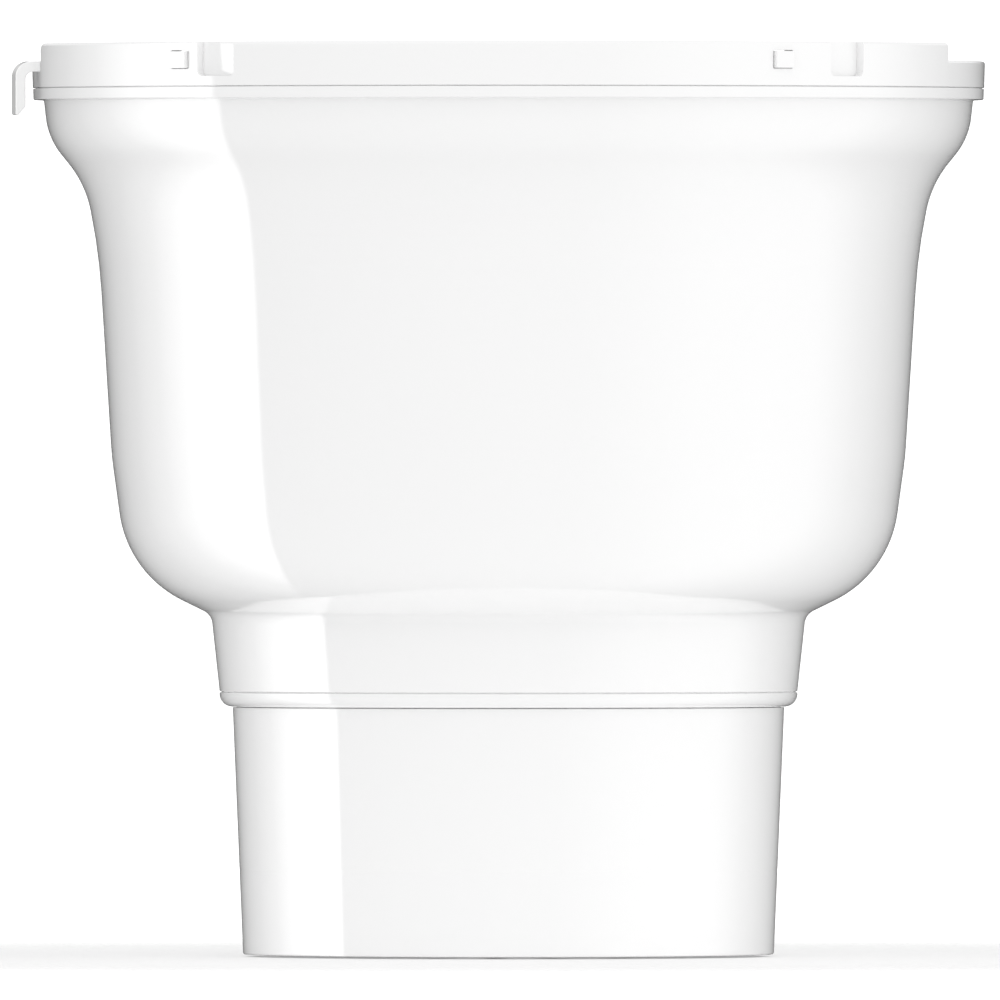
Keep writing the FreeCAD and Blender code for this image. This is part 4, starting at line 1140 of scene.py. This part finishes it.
@dataclass
class TopDeck:
    """Control panel with its snap tabs, window, lamp lens, dial and buttons."""

    radius: float = 64.05
    thickness: float = 2.0
    gap: float = 0.15
    window: Point = (47.6, 21.6)
    window_centre: Point = (0.0, -37.0)
    window_corner: float = 3.0
    pane: float = 1.2
    figures: tuple[float, ...] = (-13.0, 0.0, 13.0)
    lens: Point = (16.0, 2.4)
    lens_centre: Point = (0.0, -18.0)
    dial_centre: Point = (0.0, 8.0)
    dial_radius: float = 17.0
    dial_stem: float = 2.5
    dial_grooves: int = 40
    groove_steps: int = 14
    groove_radius: float = 0.45
    groove_depth: float = 0.75
    dish_place: float = 8.5
    dish_radius: float = 5.2
    dish_depth: float = 0.55
    button_radius: float = 5.5
    button_collar: float = 1.1
    button_stem: float = 1.6
    button_dish: float = 0.25
    button_places: tuple[float, float] = (-36.0, 36.0)
    tab_azimuths: tuple[float, float] = (-39.1, 39.1)
    tab: Point = (3.1, 2.36)
    tab_face: float = 67.3
    tab_low: float = 123.7

    def build(self, wardrobe: Wardrobe) -> None:
        """Builds the deck and everything set in it.

        Args:
            wardrobe: Finishes to dress the pieces with.
        """
        self.top = top_of("display_window")
        wardrobe.dress(self.panel(), Slot.SHELL, Body.MAIN, "top_deck")
        wardrobe.dress(self.glass(), Slot.WINDOW, Body.MAIN, "display_window")
        wardrobe.dress(self.lamp_lens(), Slot.LENS, Body.MAIN, "status_lens")
        wardrobe.dress(self.digits(), Slot.BLACK, Body.MAIN)
        wardrobe.dress(self.dial(), Slot.DIAL, Body.DIAL, "dial")
        wardrobe.dress(self.dial_mark(), Slot.BLACK, Body.DIAL)
        for node, x, body in (("timer_button", self.button_places[0], Body.TIMER),
                              ("start_button", self.button_places[1], Body.START)):
            wardrobe.dress(self.button(node, x), Slot.BUTTON, body, node)
        wardrobe.dress(self.timer_sign(), Slot.BLACK, Body.TIMER)
        wardrobe.dress(self.start_sign(), Slot.BLACK, Body.START)

    def panel(self) -> bpy.types.Object:
        """The deck's disc with its openings, and the two snap tabs at the ring.

        Returns:
            The piece.
        """
        window = (self.window[0] + self.gap, self.window[1] + self.gap)
        holes = [rounded_rectangle(window, self.window_corner, self.window_centre),
                 rounded_rectangle(self.lens, 1.1, self.lens_centre), circle(3.55, self.dial_centre, 48)]
        holes += [circle(self.button_radius + self.gap, (x, self.dial_centre[1]))
                  for x in self.button_places]
        disc = plate("deck_disc", [circle(self.radius, count=320), *holes],
                     self.top - self.thickness, self.top, 0.12)
        pieces = [disc]
        for azimuth in self.tab_azimuths:
            reach = rounded_rectangle(self.tab, 0.15, (0.0, self.tab_low + self.tab[1] / 2))
            pieces.append(plate("deck_tab", [reach], self.radius - 2.0, self.tab_face, 0.12,
                                facing(azimuth)))
        return joined("top_deck_panel", pieces)

    def glass(self) -> bpy.types.Object:
        """The dark window, set flush."""
        outline = rounded_rectangle(self.window, self.window_corner, self.window_centre)
        return plate("display_window_pane", [outline], self.top - self.pane, self.top, 0.1)

    def lamp_lens(self) -> bpy.types.Object:
        """The bar over the lamps, its top slightly crowned."""
        size = (self.lens[0] - self.gap, self.lens[1] - self.gap)
        return plate("status_lens_bar", [rounded_rectangle(size, 1.0, self.lens_centre)],
                     self.top - self.thickness, self.top, 0.3)

    def digits(self) -> bpy.types.Object:
        """Unlit strokes of three figures, just proud of the window.

        Returns:
            The piece.
        """
        bars = []
        for figure in self.figures:
            x, y = self.window_centre[0] + figure, self.window_centre[1]
            for dx, dy, upright in ((0, 6, False), (0, 0, False), (0, -6, False), (-3.4, 3, True),
                                    (3.4, 3, True), (-3.4, -3, True), (3.4, -3, True)):
                size = (1.0, 4.8) if upright else (5.6, 1.0)
                outline = rounded_rectangle(size, 0.3, (x + dx, y + dy))
                bars.append(plate("stroke", [outline], self.top - 0.02, self.top + 0.03, 0.01))
        return joined("display_strokes", bars)

    def dial(self) -> bpy.types.Object:
        """The dial: grooved rim, rounded brow, finger dish and stem.

        Returns:
            The piece.
        """
        section = self.dial_section()
        top = top_of("dial")
        columns = []
        count = self.dial_grooves * self.groove_steps
        for i in range(count):
            angle = 2 * math.pi * i / count
            phase = (i / self.groove_steps) % 1.0
            away = min(phase, 1 - phase) * 2 * math.pi * self.dial_radius / self.dial_grooves
            groove = math.sqrt(max(self.groove_radius**2 - away**2, 0.0)) * self.groove_depth
            column = []
            for r, z in section:
                fade = min(max((top - 0.75 - z) / 0.3, 0.0), 1.0) if r > 15 else 0.0
                reach = r - groove * fade
                x, y = reach * math.sin(angle), -reach * math.cos(angle)
                if z > top - 0.01:
                    span = math.hypot(x, y + self.dish_place)
                    z -= self.dish_depth * max(0.0, 1 - (span / self.dish_radius) ** 2) ** 1.4
                column.append((x + self.dial_centre[0], y + self.dial_centre[1], z))
            columns.append(column)
        return lofted("dial_cap", np.array(columns))

    def dial_section(self) -> list[Point]:
        """Section of the dial from its stem over the rim and back down the axis.

        Returns:
            Points of (radius, height).
        """
        top, foot = top_of("dial"), bottom_of("dial")
        bottom, rounding = self.top + 0.3, 0.8
        section = [(self.dial_stem, bottom), (self.dial_radius - self.gap, bottom),
                   (self.dial_radius, bottom + self.gap), (self.dial_radius, bottom + 0.4)]
        section += [(self.dial_radius, z) for z in np.linspace(bottom + 0.7, top - rounding, 5)]
        for k in range(1, 10):
            a = math.radians(10 * k)
            section.append((self.dial_radius - rounding * (1 - math.cos(a)),
                            top - rounding * (1 - math.sin(a))))
        section += [(r, top) for r in np.linspace(15.8, 0.6, 34)]
        return section + [(0.0, top), (0.0, foot), (self.dial_stem, foot)]

    def dial_mark(self) -> bpy.types.Object:
        """Short index line at the dial's rim.

        Returns:
            The piece.
        """
        top = top_of("dial")
        outline = rounded_rectangle((0.7, 2.2), 0.3, (self.dial_centre[0], self.dial_centre[1] - 14.6))
        return plate("dial_index", [outline], top - 0.05, top + 0.02, 0.01)

    def button(self, node: str, x: float) -> bpy.types.Object:
        """A push button: rounded cap with a shallow dish, collar and stem.

        Args:
            node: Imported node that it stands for.
            x: Where it stands along the deck, in millimetres.

        Returns:
            The piece.
        """
        top, bottom = top_of(node), bottom_of(node)
        collar = self.top - self.thickness - 0.2
        r, stem = self.button_radius, self.button_stem
        wide, under = r + self.button_collar, collar - 1.2
        dish = [(r * k / 12, top - self.button_dish * (1 - (k / 12 / 0.87) ** 2)) for k in range(10, 0, -1)]
        outline = rounded([(stem, bottom, 0.1), (stem, under, 0.0), (wide, under, 0.1), (wide, collar, 0.1),
                           (r, collar, 0.0), (r, top, 0.5), (r * 0.9, top, 0.6)], closed=False)
        outline += dish + [(0.0, top - self.button_dish), (0.0, bottom)]
        return turned(f"{node}_cap", outline, (x, self.dial_centre[1]), 96)

    def timer_sign(self) -> bpy.types.Object:
        """Clock sign on the left button.

        Returns:
            The piece.
        """
        x, y, top = self.button_places[0], self.dial_centre[1], top_of("timer_button")
        face = [circle(radius, (x, y), 48) for radius in (2.2, 1.85)]
        pieces = [plate("clock_ring", face, top - 0.3, top - 0.12, 0.03)]
        for size, dx, dy in (((0.3, 1.5), 0.0, 0.6), ((1.1, 0.3), 0.42, 0.0)):
            hand = rounded_rectangle(size, 0.12, (x + dx, y + dy))
            pieces.append(plate("clock_hand", [hand], top - 0.3, top - 0.16, 0.03))
        return joined("timer_sign", pieces)

    def start_sign(self) -> bpy.types.Object:
        """Triangle sign on the right button.

        Returns:
            The piece.
        """
        x, y, top = self.button_places[1], self.dial_centre[1], top_of("start_button")
        corners = [(x - 1.2, y - 1.8, 0.25), (x + 1.9, y, 0.25), (x - 1.2, y + 1.8, 0.25)]
        shape = rounded(corners, turn=15.0)
        return plate("start_sign", [shape], top - 0.3, top - 0.14, 0.03)


@dataclass
class RemovableSkirt:
    """Tapered skirt with its spigot and O-ring groove, its level line and the bottom grille."""

    foot: float = 37.15
    brow: float = 38.6
    brow_height: float = 34.6
    spigot: float = 38.05
    groove: tuple[float, float] = (36.3, 39.3)
    inner: float = 35.6
    inner_brow: float = 28.7
    inner_low: float = 35.15
    seat_width: float = 1.55
    seat_height: float = 2.8
    level_height: float = 11.8
    level_depth: float = 0.03
    slots: int = 20
    slot_width: float = 2.4
    slot_inner: float = 17.0
    slot_outer: float = 32.0
    outlet: float = 11.5
    guard: float = 6.0
    bar: float = 1.4
    bars: int = 6

    def build(self, wardrobe: Wardrobe) -> None:
        """Builds the skirt and its grille.

        Args:
            wardrobe: Finishes to dress the pieces with.
        """
        wardrobe.dress(self.shell(), Slot.SHELL, Body.SKIRT, "skirt")
        wardrobe.dress(self.grille(), Slot.GRILLE, Body.SKIRT, "bottom_grille")

    def wall_radius(self, height: float) -> float:
        """Outside radius of the tapered wall at a height."""
        return self.foot + (self.brow - self.foot) * height / self.brow_height

    def shell(self) -> bpy.types.Object:
        """The skirt's wall, turned.

        Returns:
            The piece.
        """
        top, line = top_of("skirt"), self.level_height
        seat = self.foot - self.seat_width
        deep, middle = self.groove
        outline = rounded([
            (seat, 0.0, 0.05), (self.foot, 0.0, 0.35), (self.wall_radius(line - 0.5), line - 0.5, 0.6),
            (self.wall_radius(line) - self.level_depth, line, 0.6),
            (self.wall_radius(line + 0.5), line + 0.5, 0.6),
            (self.brow, self.brow_height, 0.12), (self.spigot, self.brow_height, 0.0),
            (self.spigot, middle - 1.0, 0.1), (deep, middle - 1.0, 0.15), (deep, middle + 1.0, 0.15),
            (self.spigot, middle + 1.0, 0.1), (self.spigot, top, 0.5), (self.inner, top, 0.3),
            (self.inner, self.inner_brow, 4.0), (self.inner_low, self.seat_height, 0.0),
            (seat, self.seat_height, 0.0)], turn=5.0)
        return turned("skirt_shell", outline, segments=320)

    def grille(self) -> bpy.types.Object:
        """The grille: radial intake slots round a guarded outlet.

        Returns:
            The piece.
        """
        low, high = bottom_of("bottom_grille"), top_of("bottom_grille")
        loops = [circle(self.foot - self.seat_width, count=240)]
        loops += [radial_slot(self.slot_inner, self.slot_outer, self.slot_width, 360 * i / self.slots + 180)
                  for i in range(self.slots)]
        half = self.bar / 2
        for i in range(self.bars):
            azimuth = 360 * i / self.bars + 30 + 180
            for inner, outer in ((self.bar, self.guard - half), (self.guard + half, self.outlet)):
                loops.append(self.sector(inner, outer, azimuth))
        return plate("bottom_grille_disc", loops, low, high, 0.22)

    def sector(self, inner: float, outer: float, azimuth: float) -> list[Point]:
        """Outline of the opening between two guard rings and two bars.

        Args:
            inner: Radius of its inner side, in millimetres.
            outer: Radius of its outer side.
            azimuth: Direction of its middle, in degrees.

        Returns:
            The outline's points, anticlockwise.
        """
        half = self.bar / 2
        reach = 360 / self.bars / 2
        corners: list[Corner] = []
        for radius, order in ((outer, 1), (inner, -1)):
            edge = reach - math.degrees(math.asin(half / radius))
            for k in range(-6, 7) if edge > 1 else [0]:
                a = math.radians(azimuth + order * edge * k / 6)
                rounding = 0.35 if abs(k) == 6 or edge <= 1 else 0.0
                corners.append((-radius * math.sin(a), radius * math.cos(a), rounding))
        return anticlockwise(rounded(corners, turn=18.0))


@dataclass
class PowerInlet:
    """Recessed mains socket at the rear with its three pins."""

    flange: Point = (31.0, 23.0)
    flange_thickness: float = 1.6
    flange_corner: float = 2.4
    socket: Point = (24.0, 16.4)
    socket_corner: float = 2.2
    case_corner: float = 2.6
    wall: float = 1.3
    depth: float = 15.0
    pins: tuple[Point, ...] = ((-7.0, -1.5), (0.0, 2.5), (7.0, -1.5))
    pin: Point = (2.0, 4.0)
    pin_edge: float = 0.45

    def build(self, wardrobe: Wardrobe) -> None:
        """Builds the socket and its pins.

        Args:
            wardrobe: Finishes to dress the pieces with.
        """
        low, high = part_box("power_inlet")
        front, height = high.y / MM, (low.z + high.z) / 2
        place = Matrix(((-1, 0, 0, 0), (0, 0, 1, 0), (0, 1, 0, height), (0, 0, 0, 1)))
        mouth = rounded_rectangle(self.socket, self.socket_corner)
        case = rounded_rectangle((self.socket[0] + 2 * self.wall, self.socket[1] + 2 * self.wall),
                                 self.case_corner)
        back, root = front - self.depth, front - self.flange_thickness
        flange = plate("inlet_flange", [rounded_rectangle(self.flange, self.flange_corner), mouth],
                       root, front, 0.3, place)
        liner = plate("inlet_liner", [case, mouth], back, root + 0.05, 0.04, place)
        floor = plate("inlet_floor", [case], back - 2, back + 0.02, 0.1, place)
        wardrobe.dress(joined("power_inlet_socket", [flange, liner, floor]), Slot.BLACK, Body.MAIN,
                       "power_inlet")
        tails, tips = (corner.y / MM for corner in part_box("inlet_pins"))
        blades = [plate("inlet_blade", [rounded_rectangle(self.pin, 0.5, (-x, z))], tails, tips,
                        self.pin_edge, place) for x, z in self.pins]
        wardrobe.dress(joined("inlet_pin_blades", blades), Slot.PIN, Body.MAIN, "inlet_pins")


# ------------------------------------------------------------------ studio


@dataclass
class Studio:
    """Floor, surroundings, soft light and camera."""

    azimuth: float = 4.2
    elevation: float = 0.1
    lens: float = 1725.0
    sensor: float = 36.0
    frame_width: float = 0.14
    aim_side: float = -0.00119
    aim_height: float = 0.0636
    panels: tuple[tuple[float, float], ...] = (
        (-180.0, 0.85), (-77.6, 0.85), (-76.2, 0.02), (-20.0, 0.07), (20.0, 0.12), (55.0, 0.32),
        (95.0, 0.40), (180.0, 0.40))
    fade: tuple[tuple[float, float], ...] = (
        (-1.0, 0.0), (-0.72, 0.02), (-0.5, 0.19), (-0.17, 0.82), (0.2, 1.0))
    panel_strength: float = 4.0
    fill: float = 0.945
    ceiling: float = 0.8
    ceiling_rise: float = 6.0
    ceiling_start: float = -0.3
    floor_lift: float = 0.08
    bounce: float = 0.24
    floor_top: float = -0.3
    floor_thickness: float = 0.03
    floor_radius: float = 420.0
    floor_core: float = 0.05
    floor_rim: float = 0.30
    front_slope: float = 0.12
    side_slope: float = 0.05
    backdrop: float = 1.3
    side_backdrop: float = 0.90
    backdrop_edge: float = 0.985
    backdrop_blend: float = 0.01
    lamp_size: float = 1.2
    lamp_power: float = 0.7
    lamp_place: Triple = (0.1, -0.35, 1.3)
    lamp_aim: Triple = (0.0, 0.0, 0.06)

    def build(self) -> None:
        """Builds the floor, the surroundings, the lamp and the camera."""
        bpy.context.scene.view_settings.view_transform = "Standard"
        self.floor()
        self.surroundings()
        self.lamp()
        self.camera()

    def directions(self) -> tuple[Vector, Vector]:
        """The camera's side of the object and its right-hand direction, both level.

        Returns:
            The two directions.
        """
        angle = math.radians(self.azimuth)
        sine, cosine = math.sin(angle), math.cos(angle)
        return Vector((sine, -cosine, 0)), Vector((cosine, sine, 0))

    def floor(self) -> None:
        """A pale disc just under the foot that melts into the backdrop towards its edge."""
        top, foot = self.floor_top, self.floor_top - self.floor_thickness
        outline = [(0.0, top), (self.floor_radius, top), (self.floor_radius, foot), (0.0, foot)]
        floor = turned("studio_floor", outline, segments=128)
        recipe = Recipe("floor_paint")
        where = recipe.place()
        paint = recipe.ramp(recipe.noise(where, 220.0), (0.88, 0.88, 0.88), (0.90, 0.90, 0.90))
        recipe.link(paint, recipe.shader.inputs["Base Color"])
        recipe.set(Roughness=0.9, Specular_IOR_Level=0.0)
        recipe.shader.inputs["Emission Color"].default_value = (1, 1, 1, 1)
        seen = recipe.node("ShaderNodeLightPath").outputs["Is Camera Ray"]
        lift = recipe.reckon("MULTIPLY_ADD", seen, self.floor_lift - self.bounce, self.bounce)
        away = recipe.node("ShaderNodeVectorMath", operation="LENGTH")
        recipe.link(where, away.inputs[0])
        reach = recipe.node("ShaderNodeMapRange", interpolation_type="SMOOTHERSTEP")
        for socket, value in (("From Min", self.floor_core), ("From Max", self.floor_rim),
                              ("To Min", 1.0), ("To Max", 0.0)):
            reach.inputs[socket].default_value = value
        recipe.link(away.outputs["Value"], reach.inputs["Value"])
        recipe.link(reach.outputs["Result"], recipe.shader.inputs["Alpha"])
        glow = recipe.reckon("MULTIPLY", lift, reach.outputs["Result"])
        recipe.link(glow, recipe.shader.inputs["Emission Strength"])
        floor.data.materials.append(recipe.material)
        floor.visible_glossy = False

    def surroundings(self) -> None:
        """A white sweep with a tall bright panel on the left and a softer one on the right."""
        world = bpy.data.worlds.new("studio_surroundings")
        bpy.context.scene.world = world
        world.use_nodes = True
        world.cycles.sampling_method = "NONE"
        wiring = Wiring(world.node_tree)
        wiring.tree.nodes.clear()
        where = wiring.node("ShaderNodeTexCoord").outputs["Generated"]
        towards, right = self.directions()
        front, side, up = (self.pointing(wiring, where, way) for way in (towards, right, Vector((0, 0, 1))))
        slope = wiring.reckon("MULTIPLY_ADD", side, self.side_slope, self.fill)
        soft = wiring.reckon("MULTIPLY_ADD", front, self.front_slope, slope)
        path = wiring.node("ShaderNodeLightPath").outputs
        lit = wiring.choice(path["Is Glossy Ray"], soft, self.mirrored(wiring, front, side, up))
        chosen = wiring.choice(path["Is Camera Ray"], lit, self.sweep(wiring, front))
        background = wiring.node("ShaderNodeBackground")
        background.inputs["Color"].default_value = (1, 1, 1, 1)
        wiring.link(chosen, background.inputs["Strength"])
        output = wiring.node("ShaderNodeOutputWorld")
        wiring.link(background.outputs["Background"], output.inputs["Surface"])

    def pointing(self, wiring: Wiring, where: bpy.types.NodeSocket,
                 direction: Vector) -> bpy.types.NodeSocket:
        """How far a ray points along a direction.

        Args:
            wiring: The surroundings' nodes.
            where: Socket of the ray's own direction.
            direction: The direction that it is measured along.

        Returns:
            Socket of the share, from -1 to 1.
        """
        made = wiring.node("ShaderNodeVectorMath", operation="DOT_PRODUCT")
        made.inputs[1].default_value = direction
        wiring.link(where, made.inputs[0])
        return made.outputs["Value"]

    def mirrored(self, wiring: Wiring, front: bpy.types.NodeSocket, side: bpy.types.NodeSocket,
                 up: bpy.types.NodeSocket) -> bpy.types.NodeSocket:
        """Brightness of the panels and the ceiling that glossy surfaces mirror.

        Args:
            wiring: The surroundings' nodes.
            front: How far a ray points to the front.
            side: How far it points to the right.
            up: How far it points up.

        Returns:
            The brightness's socket.
        """
        bearing = wiring.reckon("ARCTAN2", side, wiring.reckon("ADD", front, 1.0))
        share = wiring.reckon("MULTIPLY_ADD", bearing, 1 / math.pi, 0.5)
        across = wiring.levels(share, [(angle / 360 + 0.5, level) for angle, level in self.panels])
        depth = wiring.reckon("MULTIPLY_ADD", front, 0.5, 0.5)
        faded = wiring.levels(depth, [(place / 2 + 0.5, level) for place, level in self.fade])
        walls = wiring.reckon("MULTIPLY", wiring.reckon("MULTIPLY", across, faded), self.panel_strength)
        overhead = wiring.reckon("MULTIPLY_ADD", up, self.ceiling_rise, self.ceiling_start)
        ceiling = wiring.reckon("MULTIPLY", wiring.limited(overhead), self.ceiling)
        return wiring.reckon("MAXIMUM", walls, ceiling)

    def sweep(self, wiring: Wiring, front: bpy.types.NodeSocket) -> bpy.types.NodeSocket:
        """Brightness of the white sweep, which is brightest straight behind the object.

        Args:
            wiring: The surroundings' nodes.
            front: How far a ray points to the front.

        Returns:
            The brightness's socket.
        """
        past = wiring.reckon("SUBTRACT", wiring.reckon("MULTIPLY", front, -1.0), self.backdrop_edge)
        share = wiring.limited(wiring.reckon("MULTIPLY", past, 1 / self.backdrop_blend))
        return wiring.reckon("MULTIPLY_ADD", share, self.backdrop - self.side_backdrop, self.side_backdrop)

    def lamp(self) -> None:
        """A large soft lamp overhead, which grounds the object on the floor."""
        light = bpy.data.lights.new("overhead_softbox", "AREA")
        light.shape, light.size, light.size_y = "RECTANGLE", self.lamp_size, self.lamp_size
        light.energy = self.lamp_power
        lamp = bpy.data.objects.new("overhead_softbox", light)
        lamp.location = self.lamp_place
        aim = Vector(self.lamp_aim) - lamp.location
        lamp.rotation_euler = aim.to_track_quat("-Z", "Y").to_euler()
        lamp.visible_glossy = False
        lamp.visible_camera = False
        bpy.context.scene.collection.objects.link(lamp)

    def camera(self) -> None:
        """A very long lens, level with the object's middle."""
        data = bpy.data.cameras.new("studio_camera")
        data.lens, data.sensor_width = self.lens, self.sensor
        distance = self.frame_width * self.lens / self.sensor
        data.clip_start, data.clip_end = 0.1, distance + 5.0
        towards, right = self.directions()
        lift = math.radians(self.elevation)
        back = towards * math.cos(lift) + Vector((0, 0, 1)) * math.sin(lift)
        aim = right * self.aim_side + Vector((0, 0, self.aim_height))
        camera = bpy.data.objects.new("studio_camera", data)
        camera.location = aim + back * distance
        camera.rotation_euler = (-back).to_track_quat("-Z", "Y").to_euler()
        bpy.context.scene.collection.objects.link(camera)
        bpy.context.scene.camera = camera


def main() -> None:
    """Builds the camera and floor, then each sub-assembly in order, and reports each piece."""
    logging.basicConfig(level=logging.INFO, format="%(message)s")
    Studio().build()
    wardrobe = Wardrobe()
    wardrobe.dress_packed_nodes()
    BellHousing().build(wardrobe)
    ControlRing().build(wardrobe)
    PotHook().build(wardrobe)
    TopDeck().build(wardrobe)
    RemovableSkirt().build(wardrobe)
    PowerInlet().build(wardrobe)


if __name__ == "__main__":
    main()
